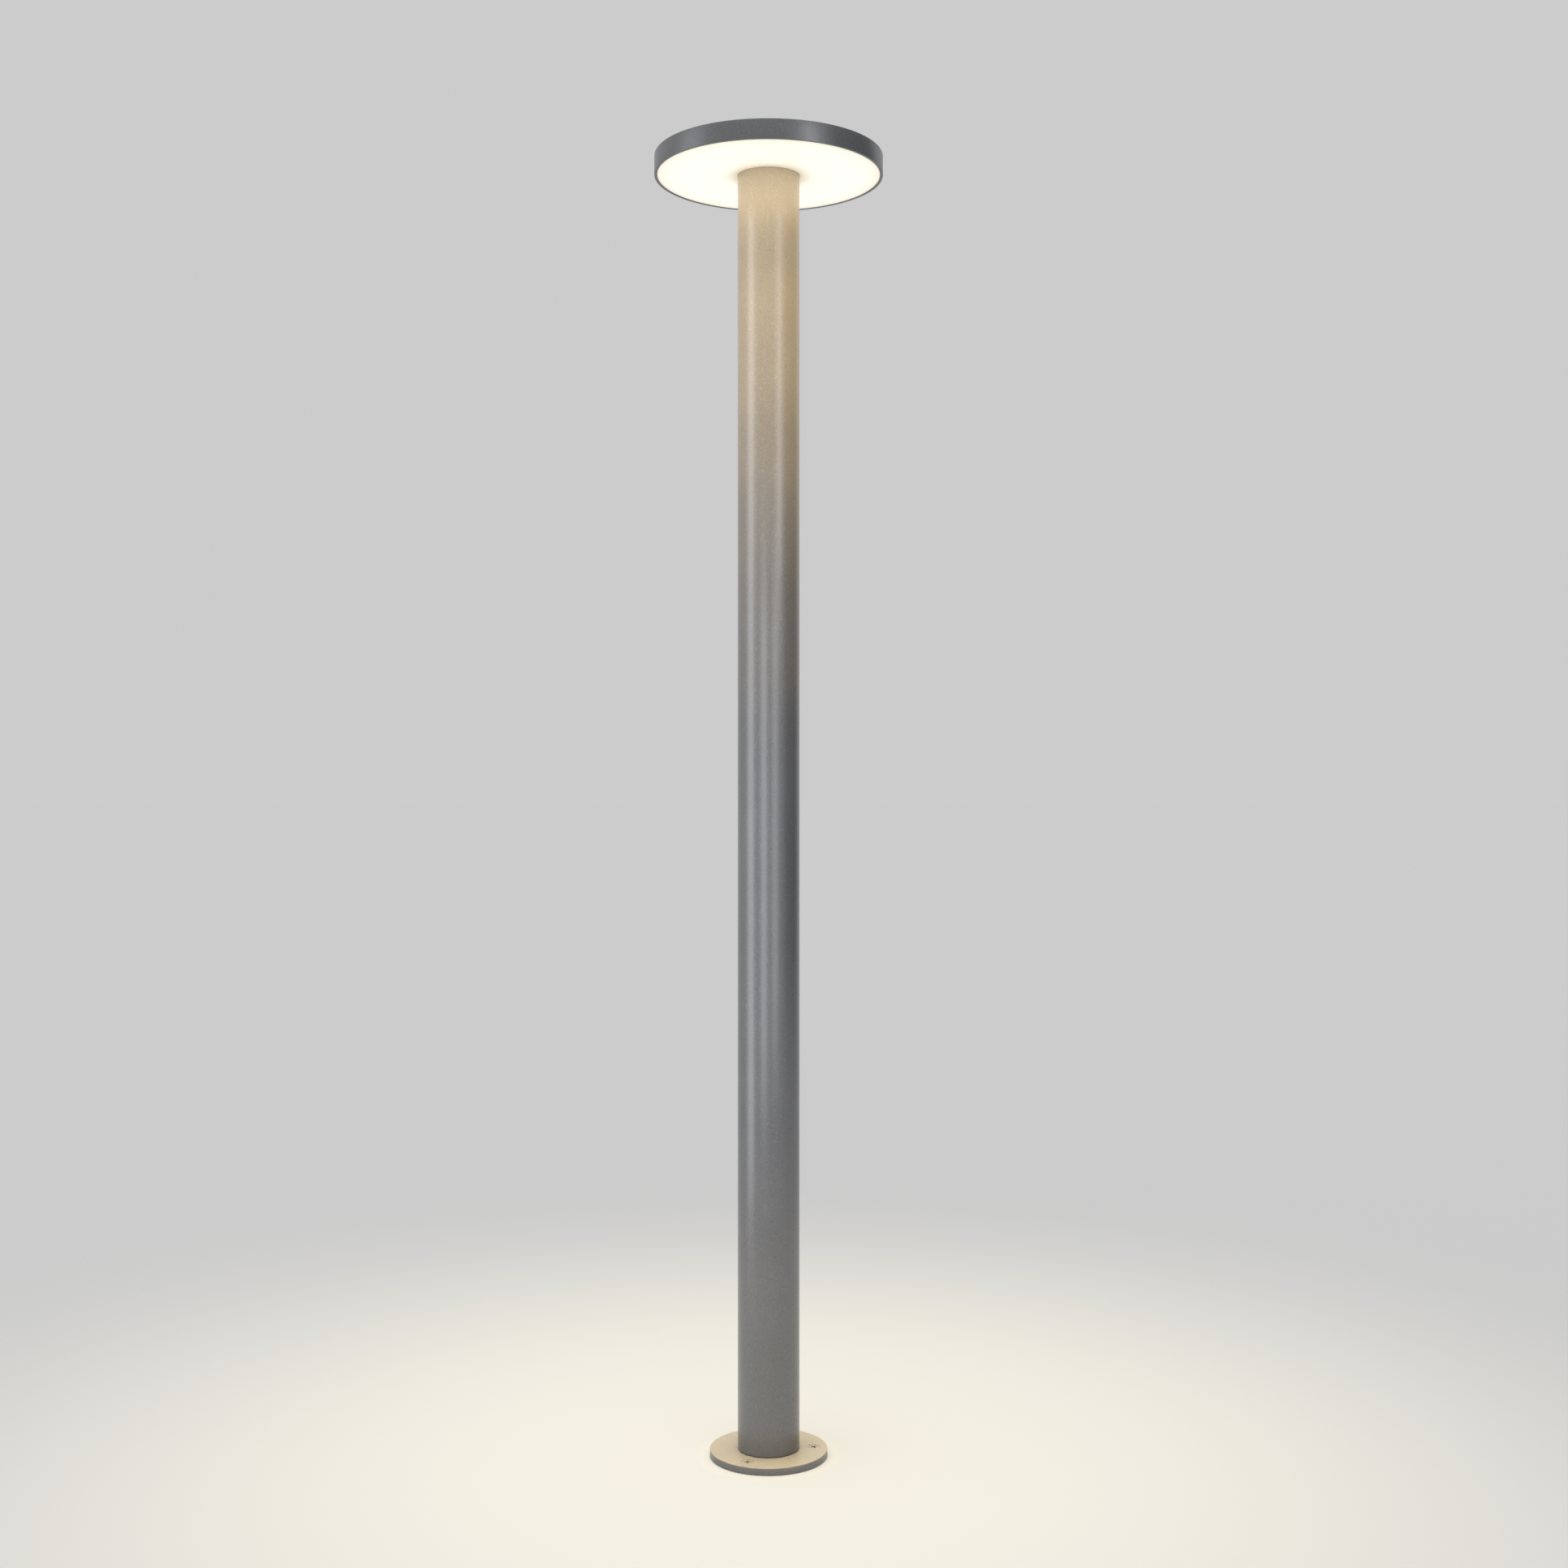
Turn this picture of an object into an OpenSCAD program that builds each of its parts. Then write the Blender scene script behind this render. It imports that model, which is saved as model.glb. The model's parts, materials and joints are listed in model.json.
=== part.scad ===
// Post light: a disc head on a round post with a flat foot flange.
// The origin is the centre of the foot, at ground level. +Z is up.

/* [Overall] */
// Height from the ground to the top of the head
total_h = 1000; // [500:10:1500]

/* [Head] */
// Outside diameter of the head
head_d = 176; // [146:1:260]
// Side wall of the head housing
head_wall = 2.1; // [1.6:0.1:3]
// Top wall of the head housing
head_top = 3; // [2.6:0.1:4]
// Edge break round the head's outer edges
head_edge = 0.5; // [0.2:0.1:0.8]
// Distance from the LED faces to the diffuser
optic_gap = 5.6; // [4.6:0.1:14]
// Thickness of the opal diffuser
diffuser_t = 3; // [2.5:0.1:4]
// Height of the diffuser's face above the rim's lower edge
diffuser_inset = 0.3; // [0.1:0.1:1]
// Snap hooks round the diffuser
hook_count = 6; // [4:1:12]
// Thickness of the LED board
board_t = 1.6; // [1:0.2:2]
// Distance between two LEDs along a ring
led_pitch = 19; // [8:1:30]
// Distance between two rings of LEDs
led_ring_pitch = 8.75; // [6:0.25:15]
// Room for the wires between the carrier and the housing
wire_room = 3; // [2.6:0.1:4]
// Thickness of the head carrier
carrier_t = 3; // [2.8:0.1:4]

/* [Post] */
// Outside diameter of the post tube
post_d = 47.5; // [46:0.5:60]
// Wall of the post tube
post_wall = 2; // [1.5:0.1:3]
// Wall round each screw port inside the tube
port_wall = 1.25; // [1:0.05:1.6]
// Thickness of the seal under the post
post_seal_t = 0.5; // [0.3:0.1:1.5]

/* [Foot] */
// Diameter of the foot flange
base_d = 90.5; // [88:0.5:130]
// Thickness of the foot flange
base_t = 5.6; // [5.2:0.1:10]
// Edge break round the flange's upper edge
base_edge = 0.4; // [0.2:0.1:0.8]
// Width of the flange's lip round the mounting ring
base_lip = 2.9; // [2:0.1:4]
// Thickness of the mounting ring
ring_t = 3; // [2.8:0.1:3.6]
// Distance from the flange's edge to the centre of each flange screw
screw_edge = 10.6; // [9:0.1:14]
// Angle of the first flange screw
first_screw = 3.2; // [0:0.1:120]
// Turn of each flange screw's cross from the way outwards
cross_turn = 29; // [0:1:89]
// Diameter of each anchor hole in the mounting ring
anchor_hole_d = 6; // [5:0.5:6.5]
// Head diameter that each anchor countersink takes
anchor_head_d = 11; // [9:0.5:12]
// Bore of the cable inlet
inlet_d = 9; // [7:0.5:10]

/* [Gear] */
// Length of the driver's case
driver_len = 94; // [70:1:140]
// Depth of the driver, away from the tray
driver_depth = 16; // [12:0.5:18]
// Wall of the driver's case
driver_wall = 1.2; // [0.8:0.1:1.6]
// Sheet thickness of the gear tray
tray_t = 1.5; // [1:0.1:2]
// Height of the terminal block above the tray's foot
terminal_z = 36; // [30:1:60]
// Diameter of the sheathed cable that runs up the post
cable_d = 5; // [4:0.5:6]
// Diameter of one insulated core
core_d = 1.6; // [1.2:0.1:1.8]

/* [Screws] */
// Thread diameter of the flange, foot and carrier screws
screw_d = 5; // [4:0.5:5]
// Head diameter of those screws
screw_head_d = 9.2; // [7.6:0.1:9.6]
// Length of the foot screws, heads included
foot_screw_len = 16; // [12:1:30]
// Length of the carrier screws, heads included
carrier_screw_len = 14; // [10:1:30]
// Thread diameter of the housing screws
housing_screw_d = 4; // [3:0.5:4]
// Length of the housing screws, heads included
housing_screw_len = 6; // [5:0.5:6.5]
// Thread diameter of the small screws
small_screw_d = 3; // [2.5:0.5:3]

/* [Hidden] */
$fn = 96;
e = 0.01;                       // overshoot of a cut past a face
parts3 = [0, 120, 240];         // three places round the axis

// Clearances
thread_gap = 0.05;              // round a screw in its thread
hole_gap = 0.25;                // round a screw in a plain hole
wire_gap = 0.15;                // round a wire in its hole
head_gap = 0.1;                 // round and above a countersunk head
fit_gap = 0.25;                 // round a piece that drops into place
rubber_gap = 0.05;              // round a rubber bush in its hole
bay_gap = 0.4;                  // between the gear and the screw ports

// Screws
head_rim = 0.3;                 // straight edge of a countersunk head
recess_w = 0.95;                // width of a cross recess's arms
slot_w = 0.6;                   // slot of a terminal screw
slot_h = 0.8;
housing_head_d = 7.5;
pan_d = 5.5;                    // pan head of a small screw
pan_h = 2;

// Foot
post_r = post_d / 2;
post_ri = post_r - post_wall;
port_bore_r = screw_d / 2 + thread_gap;
port_r = port_bore_r + port_wall;
port_bite = 0.8;                            // how far a port's wall runs into the tube's
port_c = post_ri + port_bite - port_r;
port_ang = first_screw + 60;
boss_rim = 1.3;
boss_r = port_c + screw_head_d / 2 + boss_rim;  // full-thickness middle of the flange
ring_ri = boss_r + fit_gap;
ring_ro = base_d / 2 - base_lip - fit_gap;
anchor_r = (ring_ri + ring_ro) / 2;
screw_r = base_d / 2 - screw_edge;
web_z = ring_t + head_gap;                  // underside of the flange over the ring
flange_screw_len = base_t - 0.3;            // ends above the ground
seal_in = 0.4;                              // the post's seal lies inside the tube's outside
seal_out = 1.4;                             // and reaches inside its wall
bush_wall = 2;
bush_r = inlet_d / 2 + bush_wall;
bush_lip = 2;
bush_lip_t = 1.5;
bush_sink = 0.2;
post_z = base_t + post_seal_t;

// Gear bay inside the tube: a round column clear of the screw ports
bay_r = port_c - port_r - bay_gap;
bay_depth = driver_depth + tray_t;
plate_y = bay_depth / 2 - tray_t;           // front face of the tray's upright plate
gear_w = 2 * sqrt(bay_r * bay_r - bay_depth * bay_depth / 4);
tray_foot_gap = 1.8;                        // between the tray's foot and the tube
tray_foot_r = post_ri - tray_foot_gap;
tray_foot_z = base_t + tray_t;
tray_screw_r = (bush_r + bush_lip + tray_foot_r) / 2 + 0.8;
tray_thread = 3.6;                          // length of a tray screw in the flange
tray_screw_len = tray_t + tray_thread;
tray_hole_gap = 0.4;                        // below a tray screw's tip
bush_room = 0.5;                            // round the grommet's lip in the tray
terminal_h = 18;
terminal_depth = 12;
terminal_lo = tray_foot_z + terminal_z;
terminal_hi = terminal_lo + terminal_h;
terminal_front = plate_y - terminal_depth;
mount_sink = 2.5;                           // heads of its mounting screws below its front
pole_pitch = gear_w / 3;
pole_wall = 2;                              // room for a mounting screw between two poles
clamp_w = pole_pitch - 2 * pole_wall;
clamp_in = 3;                               // from the block's faces to a clamp's room
clamp_back = 2;                             // block behind a clamp's room
clamp_gap = 0.1;
clamp_screw_z = 5.5;                        // from the block's ends to its terminal screws
clamp_screw_d = 1.2;                        // tip of a terminal screw
clamp_screw_at = [terminal_lo + clamp_screw_z, terminal_hi - clamp_screw_z];
clamp_head_h = 2;
clamp_tip = 1.8;
core_bore = core_d + 0.5;                   // a core's hole through its clamp
core_entry = core_d + 1.5;                  // its way into the block
pole_y = plate_y - terminal_depth / 2 - 0.5; // centre of the wires in the terminal block
input_pitch = 6;                            // distance between the driver's two input leads
earth_z = terminal_hi + 13;
cap_t = 4;
ear_len = 9;
ear_t = 3;
ear_side = 4;                               // the ears stand in from the case's sides
spigot = 2;                                 // how far an end cap reaches into the case
spigot_gap = 0.1;
pcb_t = 1.2;                                // the driver's board
pcb_gap = 0.3;                              // between the board and the end caps
pcb_behind = 2;                             // the board lies behind the case's middle
driver_lo = terminal_hi + 30;               // lower end of the case
driver_hi = driver_lo + driver_len;
driver_y = plate_y - driver_depth / 2;      // centre of the driver's depth
tray_top = driver_hi + cap_t + ear_len + 22;
tie_z = tray_top - 6;
tie_w = 2.5;
tie_t = 1;
tie_gap = 0.1;
tie_y = plate_y - cable_d / 2 - tie_gap;    // centre of the cable at its tie
exit_y = driver_y - 1;                      // centre of the wires at the driver's ends

// Head, from the top down
head_r = head_d / 2;
head_ri = head_r - head_wall;
pad_t = 0.5;
led_h = 0.8;
ceiling_z = total_h - head_top;
board_z = ceiling_z - pad_t - board_t;      // underside of the board
led_z = board_z - led_h;
diffuser_hi = led_z - optic_gap;
diffuser_lo = diffuser_hi - diffuser_t;
rim_z = diffuser_lo - diffuser_inset;
carrier_hi = ceiling_z - wire_room;
carrier_lo = carrier_hi - carrier_t;
seal_h = 0.8;
seal_side = 0.2;                            // the seal lies inside the ledge and the diffuser's edge
ledge_w = 2.4;
ledge_h = 2;
ledge_lo = diffuser_hi + seal_h;
ledge_hi = ledge_lo + ledge_h;
hook_w = 8;
hook_t = 1.7;
hook_gap = 0.4;                             // between a hook and the ledge
hook_ro = head_ri - ledge_w - hook_gap;
barb_out = 1.5;
barb_h = 1.3;
barb_gap = 0.15;
housing_screw_r = post_r + 6.25;            // outside the post, inside the carrier's rim
housing_boss_r = 5;
carrier_r = housing_screw_r + 6;
carrier_hole_r = port_c - screw_head_d / 2 - 2.2;
trim_t = 0.7;                               // lips of the carrier's grommet
trim_lip = 1.4;
board_ri = carrier_r + 4;
board_ro = hook_ro - hook_t - 1.9;          // clear of the hooks
board_screws_at = [[board_ri + 5, 30], [board_ro - 4, 90]];
led_ring_in = board_ri + 12;                // clear of the inner screws and the connector
led_ring_out = board_ro - 10;
led_rings = max(1, floor((led_ring_out - led_ring_in) / led_ring_pitch + 0.001) + 1);
led_l = 3.5;
led_w = 2.8;
lead_ang = 36;                              // way that the wires leave the post, between two bosses
plug_l = 8;
plug_w = 7;
plug_h = 3.4;
plug_r = board_ri + 1.5;                    // inner end of the board connector
collar_gap = 0.4;
collar_seal_w = 2.7;
collar_w = 1.6;
collar_h = carrier_lo - diffuser_hi - 0.4;

// Routes of the inner wires
cable_end_z = carrier_lo - 14;
core_y = 1.3;
core_in_plug = 2.5;
cable_sway = 3;                             // the sheathed cable's slack lies in one long wave
core_z = carrier_hi + 1.6;
plug_z = board_z - plug_h / 2;

graphite = [0.40, 0.40, 0.42];
zinc = [0.75, 0.76, 0.78];
rubber = [0.10, 0.10, 0.11];
white = [0.95, 0.95, 0.92];

// ---- Shapes that repeat ----

// Three copies round the axis at radius r, the first at angle a
module three(r, a) {
    for (k = parts3) rotate([0, 0, a + k]) translate([r, 0, 0]) children();
}

// A flat ring from height z, h thick
module ring(ri, ro, z, h) {
    translate([0, 0, z]) difference() {
        cylinder(r = ro, h = h);
        translate([0, 0, -e]) cylinder(r = ri, h = h + 2 * e);
    }
}

// A box centred in x, from y and z upwards
module block(w, y, d, z, h) {
    translate([-w / 2, y, z]) cube([w, d, h]);
}

// Cross recess for a screw head whose flat top is at z = 0
module cross_recess(span, depth, turn) {
    for (a = [0, 90]) rotate([0, 0, turn + a])
        translate([-span / 2, -recess_w / 2, -depth]) cube([span, recess_w, depth + e]);
}

// Countersunk screw, head's flat top at z = 0, pointing down
module csk_screw(d, head, len, turn = 45) {
    cone = (head - d) / 2;
    difference() {
        rotate_extrude() polygon([[0, 0], [head / 2, 0], [head / 2, -head_rim],
            [d / 2, -head_rim - cone], [d / 2, 0.5 - len], [d / 2 - 0.5, -len], [0, -len]]);
        cross_recess(head * 0.6, head_rim + cone * 0.65, turn);
    }
}

// Room for that screw: its head and cone with a clear hole below
module csk_cut(d, head, len, gap) {
    cone = (head - d) / 2;
    r = d / 2 + gap;
    top = head / 2 + head_gap;
    drop = head_rim + head_gap;
    rotate_extrude() polygon([[0, 1], [top, 1], [top, -drop], [r, -drop - top + r],
        [r, -len], [0, -len]]);
}

// Pan-head screw, underside of the head at z = 0, pointing down
module pan_screw(d, head, head_h, len) {
    difference() {
        rotate_extrude() polygon([[0, head_h], [head / 2 - 0.6, head_h], [head / 2, head_h - 0.6],
            [head / 2, 0], [d / 2, 0], [d / 2, -len], [0, -len]]);
        translate([0, 0, head_h]) cross_recess(head * 0.6, head_h * 0.6, 45);
    }
}

// Rubber bush with a lip at each end, from z = 0 upwards
module bush(bore_r, body_r, lip_r, h, lip) {
    rotate_extrude() polygon([[bore_r, 0], [lip_r, 0], [lip_r, lip], [body_r, lip],
        [body_r, h - lip], [lip_r, h - lip], [lip_r, h], [bore_r, h]]);
}

// A smooth line through the route's points, with n steps a stretch
function knot(p, i) = p[max(0, min(len(p) - 1, i))];
function curve(p, i, t) = 0.5 * (2 * knot(p, i) + (knot(p, i + 1) - knot(p, i - 1)) * t
    + (2 * knot(p, i - 1) - 5 * knot(p, i) + 4 * knot(p, i + 1) - knot(p, i + 2)) * t * t
    + (3 * knot(p, i) - 3 * knot(p, i + 1) + knot(p, i + 2) - knot(p, i - 1)) * t * t * t);
function smooth(p, n) = concat([for (i = [0:len(p) - 2], k = [0:n - 1]) curve(p, i, k / n)],
    [p[len(p) - 1]]);
function unit(v) = v / norm(v);

// A round wire along a line of points. side is a direction the wire never runs along.
module wire(line, d, side, sides = 8) {
    n = len(line);
    rings = [for (i = [0:n - 1])
        let (t = unit(line[min(n - 1, i + 1)] - line[max(0, i - 1)]),
             a = unit(cross(t, side)), b = cross(t, a))
        for (k = [0:sides - 1]) line[i] + d / 2 * (cos(360 * k / sides) * a + sin(360 * k / sides) * b)];
    skin = [for (i = [0:n - 2], k = [0:sides - 1])
        let (p = i * sides + k, q = i * sides + (k + 1) % sides)
        each [[p, p + sides, q], [q, p + sides, q + sides]]];
    caps = [[for (k = [0:sides - 1]) k], [for (k = [0:sides - 1]) n * sides - 1 - k]];
    polyhedron(points = rings, faces = concat(skin, caps));
}

// ---- Foot ----

module mounting_ring() color(zinc) difference() {
    ring(ring_ri, ring_ro, 0, ring_t);
    three(anchor_r, first_screw + 60) translate([0, 0, ring_t])
        csk_cut(anchor_hole_d, anchor_head_d - 2 * head_gap, ring_t + 1, 0);
    three(screw_r, first_screw) translate([0, 0, -1])
        cylinder(r = screw_d / 2 + thread_gap, h = ring_t + 2);
    three(screw_r, first_screw) translate([0, 0, base_t])
        csk_cut(screw_d, screw_head_d, screw_head_d / 2 + head_gap, thread_gap);
}

module base_flange() color(graphite) difference() {
    rotate_extrude() polygon([[0, 0], [base_d / 2, 0], [base_d / 2, base_t - base_edge],
        [base_d / 2 - base_edge, base_t], [0, base_t]]);
    ring(boss_r, base_d / 2 - base_lip, -1, web_z + 1);
    three(screw_r, first_screw) translate([0, 0, base_t])
        csk_cut(screw_d, screw_head_d, base_t, hole_gap);
    three(port_c, port_ang) mirror([0, 0, 1])
        csk_cut(screw_d, screw_head_d, base_t + 1, hole_gap);
    translate([0, 0, -1]) cylinder(r = bush_r + rubber_gap, h = base_t + 2);
    translate([0, 0, -1]) cylinder(r = bush_r + bush_lip + fit_gap, h = 1 + bush_sink + bush_lip_t);
    three(tray_screw_r, first_screw) translate([0, 0, base_t - tray_thread - tray_hole_gap])
        cylinder(r = small_screw_d / 2 + thread_gap, h = base_t);
}

module flange_screws() color(graphite) three(screw_r, first_screw)
    translate([0, 0, base_t - head_gap])
        csk_screw(screw_d, screw_head_d, flange_screw_len, cross_turn);

module cable_grommet() color(rubber) translate([0, 0, bush_sink])
    bush(inlet_d / 2, bush_r, bush_r + bush_lip, base_t - bush_sink + bush_lip_t, bush_lip_t);

module post_foot_screws() color(zinc) three(port_c, port_ang) translate([0, 0, head_gap])
    mirror([0, 0, 1]) csk_screw(screw_d, screw_head_d, foot_screw_len);

// ---- Post ----

// The tube's section, h high: a round wall with three screw ports inside it.
// shrink takes that much off its outside, grow adds that much inside.
module post_section(h, shrink, grow) difference() {
    cylinder(r = post_r - shrink, h = h);
    difference() {
        translate([0, 0, -1]) cylinder(r = post_ri - grow, h = h + 2);
        three(port_c, port_ang) translate([0, 0, -2]) cylinder(r = port_r, h = h + 4);
    }
    three(port_c, port_ang) translate([0, 0, -1]) cylinder(r = port_bore_r, h = h + 2);
}

module post_seal() color(rubber) translate([0, 0, base_t])
    post_section(post_seal_t, seal_in, seal_out);

module post_tube() color(graphite) translate([0, 0, post_z])
    post_section(carrier_lo - post_z, 0, 0);

// ---- Gear inside the post ----

module gear_tray() color(zinc) difference() {
    union() {
        difference() {
            translate([0, 0, base_t]) cylinder(r = tray_foot_r, h = tray_t);
            three(port_c, port_ang) cylinder(r = port_r + bay_gap, h = tray_foot_z + 1);
        }
        block(gear_w, plate_y, tray_t, base_t, tray_top - base_t);
    }
    cylinder(r = bush_r + bush_lip + bush_room, h = tray_foot_z + 5);
    three(tray_screw_r, first_screw) translate([0, 0, base_t - 1])
        cylinder(r = small_screw_d / 2 + hole_gap, h = tray_t + 2);
    for (x = [-1, 1]) translate([x * pole_pitch / 2, plate_y - 1, terminal_lo + terminal_h / 2])
        rotate([-90, 0, 0]) cylinder(r = small_screw_d / 2 + thread_gap, h = tray_t + 2);
    translate([0, plate_y - 1, earth_z]) rotate([-90, 0, 0])
        cylinder(r = small_screw_d / 2 + thread_gap, h = tray_t + 2);
    for (z = driver_screw_z()) translate([0, plate_y - 1, z]) rotate([-90, 0, 0])
        cylinder(r = small_screw_d / 2 + thread_gap, h = tray_t + 2);
    for (x = [-1, 1]) translate([x * (cable_d / 2 + tie_gap + tie_t / 2), 0, tie_z])
        block(tie_t + 0.4, plate_y - 1, tray_t + 2, -0.2, tie_w + 0.4);
}

module tray_screws() color(zinc) three(tray_screw_r, first_screw)
    translate([0, 0, tray_foot_z]) pan_screw(small_screw_d, pan_d, pan_h, tray_screw_len);

// A clamp's outline in the terminal block, w wide and gap smaller than its room all round
module clamp_body(w, gap) {
    block(w, terminal_front + clamp_in + gap, terminal_depth - clamp_in - clamp_back - 2 * gap,
        terminal_lo + clamp_in + gap, terminal_h - 2 * (clamp_in + gap));
}

// Screw and wire room in one pole of the terminal block, drawn at its centre
module pole_room() {
    clamp_body(clamp_w + 2 * clamp_gap, 0);
    for (z = clamp_screw_at) translate([0, terminal_front - 1, z])
        rotate([-90, 0, 0]) cylinder(d = clamp_w, h = clamp_in + 2);
    translate([0, pole_y, terminal_lo - 1]) cylinder(d = core_entry, h = terminal_h + 2);
}

module terminal_block() color(white) difference() {
    block(gear_w, terminal_front, terminal_depth, terminal_lo, terminal_h);
    for (x = [-1, 0, 1]) translate([x * pole_pitch, 0, 0]) pole_room();
    for (x = [-1, 1]) translate([x * pole_pitch / 2, terminal_front - 1,
        terminal_lo + terminal_h / 2]) rotate([-90, 0, 0]) {
            cylinder(r = small_screw_d / 2 + hole_gap, h = terminal_depth + 2);
            cylinder(r = pan_d / 2 + hole_gap, h = 1 + mount_sink);
        }
}

module terminal_clamps() color([0.8, 0.65, 0.35]) for (x = [-1, 0, 1])
    translate([x * pole_pitch, 0, 0]) difference() {
        clamp_body(clamp_w, clamp_gap);
        translate([0, pole_y, terminal_lo]) cylinder(d = core_bore, h = terminal_h);
        for (z = clamp_screw_at) translate([0, terminal_front, z])
            rotate([-90, 0, 0]) cylinder(d = clamp_screw_d + 2 * thread_gap, h = terminal_depth / 2);
    }

module terminal_screws() color(zinc) for (x = [-1, 0, 1], z = clamp_screw_at)
    translate([x * pole_pitch, terminal_front + clamp_in, z]) rotate([90, 0, 0]) difference() {
        union() {
            cylinder(d = clamp_w - 0.4, h = clamp_head_h);
            translate([0, 0, -clamp_tip]) cylinder(d = clamp_screw_d, h = clamp_tip + e);
        }
        translate([-clamp_w, -slot_w / 2, clamp_head_h - slot_h])
            cube([2 * clamp_w, slot_w, slot_h + e]);
    }

module terminal_mount_screws() color(zinc) for (x = [-1, 1])
    translate([x * pole_pitch / 2, terminal_front + mount_sink, terminal_lo + terminal_h / 2])
        rotate([90, 0, 0])
            pan_screw(small_screw_d, pan_d, pan_h, terminal_depth - mount_sink + tray_t);

module driver_case() color(white) difference() {
    block(gear_w, driver_y - driver_depth / 2, driver_depth, driver_lo, driver_len);
    block(gear_w - 2 * driver_wall, driver_y - driver_depth / 2 + driver_wall,
        driver_depth - 2 * driver_wall, driver_lo - 1, driver_len + 2);
}

function driver_screw_z() = [driver_lo - cap_t - ear_len / 2, driver_hi + cap_t + ear_len / 2];

// End cap of the driver, drawn upwards from the case's end, with one wire hole of diameter d
module driver_end_cap(d, xs) difference() {
    union() {
        block(gear_w, driver_y - driver_depth / 2, driver_depth, 0, cap_t);
        block(gear_w - 2 * (driver_wall + spigot_gap),
            driver_y - driver_depth / 2 + driver_wall + spigot_gap,
            driver_depth - 2 * (driver_wall + spigot_gap), -spigot, spigot + e);
        block(gear_w - 2 * ear_side, plate_y - ear_t, ear_t, cap_t - e, ear_len + e);
    }
    for (x = xs) translate([x, exit_y, -3]) cylinder(r = d / 2 + wire_gap, h = cap_t + 6);
    translate([0, plate_y + 1, cap_t + ear_len / 2]) rotate([90, 0, 0])
        cylinder(r = small_screw_d / 2 + hole_gap, h = ear_t + 2);
}

module driver_end_caps() color([0.85, 0.85, 0.84]) {
    translate([0, 0, driver_hi]) driver_end_cap(cable_d, [0]);
    translate([0, 0, driver_lo]) mirror([0, 0, 1])
        driver_end_cap(core_d, [-input_pitch / 2, input_pitch / 2]);
}

module driver_board() color([0.1, 0.4, 0.2])
    block(gear_w - 2 * (driver_wall + spigot_gap), driver_y + pcb_behind, pcb_t,
        driver_lo + spigot + pcb_gap, driver_len - 2 * (spigot + pcb_gap));

// Parts on the driver's board, standing off its front face: two capacitors [place, diameter,
// height], then the transformer and a filter coil [place, width, height, length]. Each place is
// a share of the case's length, and each height a share of the room in front of the board.
module driver_components() color([0.2, 0.2, 0.22]) {
    wide = gear_w - 2 * driver_wall - 3;
    tall = driver_depth / 2 + pcb_behind - driver_wall - 1.3;
    face = driver_y + pcb_behind;
    for (c = [[0.17, 9, 0.9], [0.3, 7, 0.8]])
        translate([0, face, driver_lo + driver_len * c[0]]) rotate([90, 0, 0])
            cylinder(d = c[1], h = tall * c[2]);
    for (c = [[0.42, wide, 1, 15], [0.7, wide * 0.7, 0.8, 9]])
        block(c[1], face - tall * c[2], tall * c[2], driver_lo + driver_len * c[0], c[3]);
}

module driver_screws() color(zinc) for (z = driver_screw_z())
    translate([0, plate_y - ear_t, z]) rotate([90, 0, 0])
        pan_screw(small_screw_d, pan_d, pan_h, ear_t + tray_t);

// Lead from pole number x of the terminal block (-1, 0 or 1) up into the driver
module driver_lead(x) {
    from = [x * pole_pitch, pole_y, terminal_hi - 4];
    to = [x * input_pitch + input_pitch / 2, exit_y, driver_lo - cap_t - 1];
    wire(smooth([from, from + [0, 0, 6], [(from.x + to.x) / 2, from.y - 2, (from.z + to.z) / 2],
        to - [0, 0, 5], to + [0, 0, 5]], 5), core_d, [0, 1, 0]);
}

module live_lead() color([0.45, 0.25, 0.12]) driver_lead(-1);

module neutral_lead() color([0.15, 0.3, 0.7]) driver_lead(0);

module earth_lead() color([0.35, 0.65, 0.2]) {
    from = [pole_pitch, pole_y, terminal_hi - 4];
    lug = [0, plate_y - 1, earth_z];
    wire(smooth([from, from + [0, 0, 8], [pole_pitch, plate_y - 3, earth_z - 1],
        [pole_pitch * 0.72, plate_y - 1.2, earth_z], [3, plate_y - 1.1, earth_z]], 5),
        core_d, [0, 0.6, 0.8]);
    translate(lug) rotate([-90, 0, 0]) difference() {
        cylinder(r = 3.4, h = 1);
        translate([0, 0, -1]) cylinder(r = small_screw_d / 2 + hole_gap, h = 3);
    }
}

module earth_screw() color([0.8, 0.65, 0.35]) translate([0, plate_y - 1, earth_z])
    rotate([90, 0, 0]) pan_screw(small_screw_d, pan_d, pan_h, 1 + tray_t);

// Sheathed cable from the driver, past the tie, up the post in one long wave
module led_cable() color(rubber) {
    low = [0, exit_y, driver_hi + cap_t - 3];
    run = cable_end_z - 40 - (tie_z + 60);
    wave = [for (t = [0:0.04:1]) [cable_sway * sin(360 * t), cable_sway * (cos(360 * t) - 1) / 2,
        tie_z + 60 + run * t]];
    wire(smooth(concat([low, low + [0, 0, 4], low + [0, 0, 9], [0, tie_y - 1, tie_z - 8],
        [0, tie_y, tie_z - 1], [0, tie_y, tie_z + tie_w + 1], [0, tie_y - 1, tie_z + tie_w + 9],
        [0, tie_y / 2, tie_z + 30]], wave, [[0, 0, cable_end_z]]), 2), cable_d, [0, 1, 0], 10);
}

module cable_tie() color(white) translate([0, 0, tie_z]) difference() {
    inner = cable_d / 2 + tie_gap;
    union() {
        translate([0, tie_y, 0]) cylinder(r = inner + tie_t, h = tie_w);
        block(2 * (inner + tie_t), tie_y, plate_y + tray_t + tie_gap + tie_t - tie_y, 0, tie_w);
    }
    translate([0, tie_y, -1]) cylinder(r = inner, h = tie_w + 2);
    block(2 * inner, tie_y, plate_y + tray_t + tie_gap - tie_y, -1, tie_w + 2);
}

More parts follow.
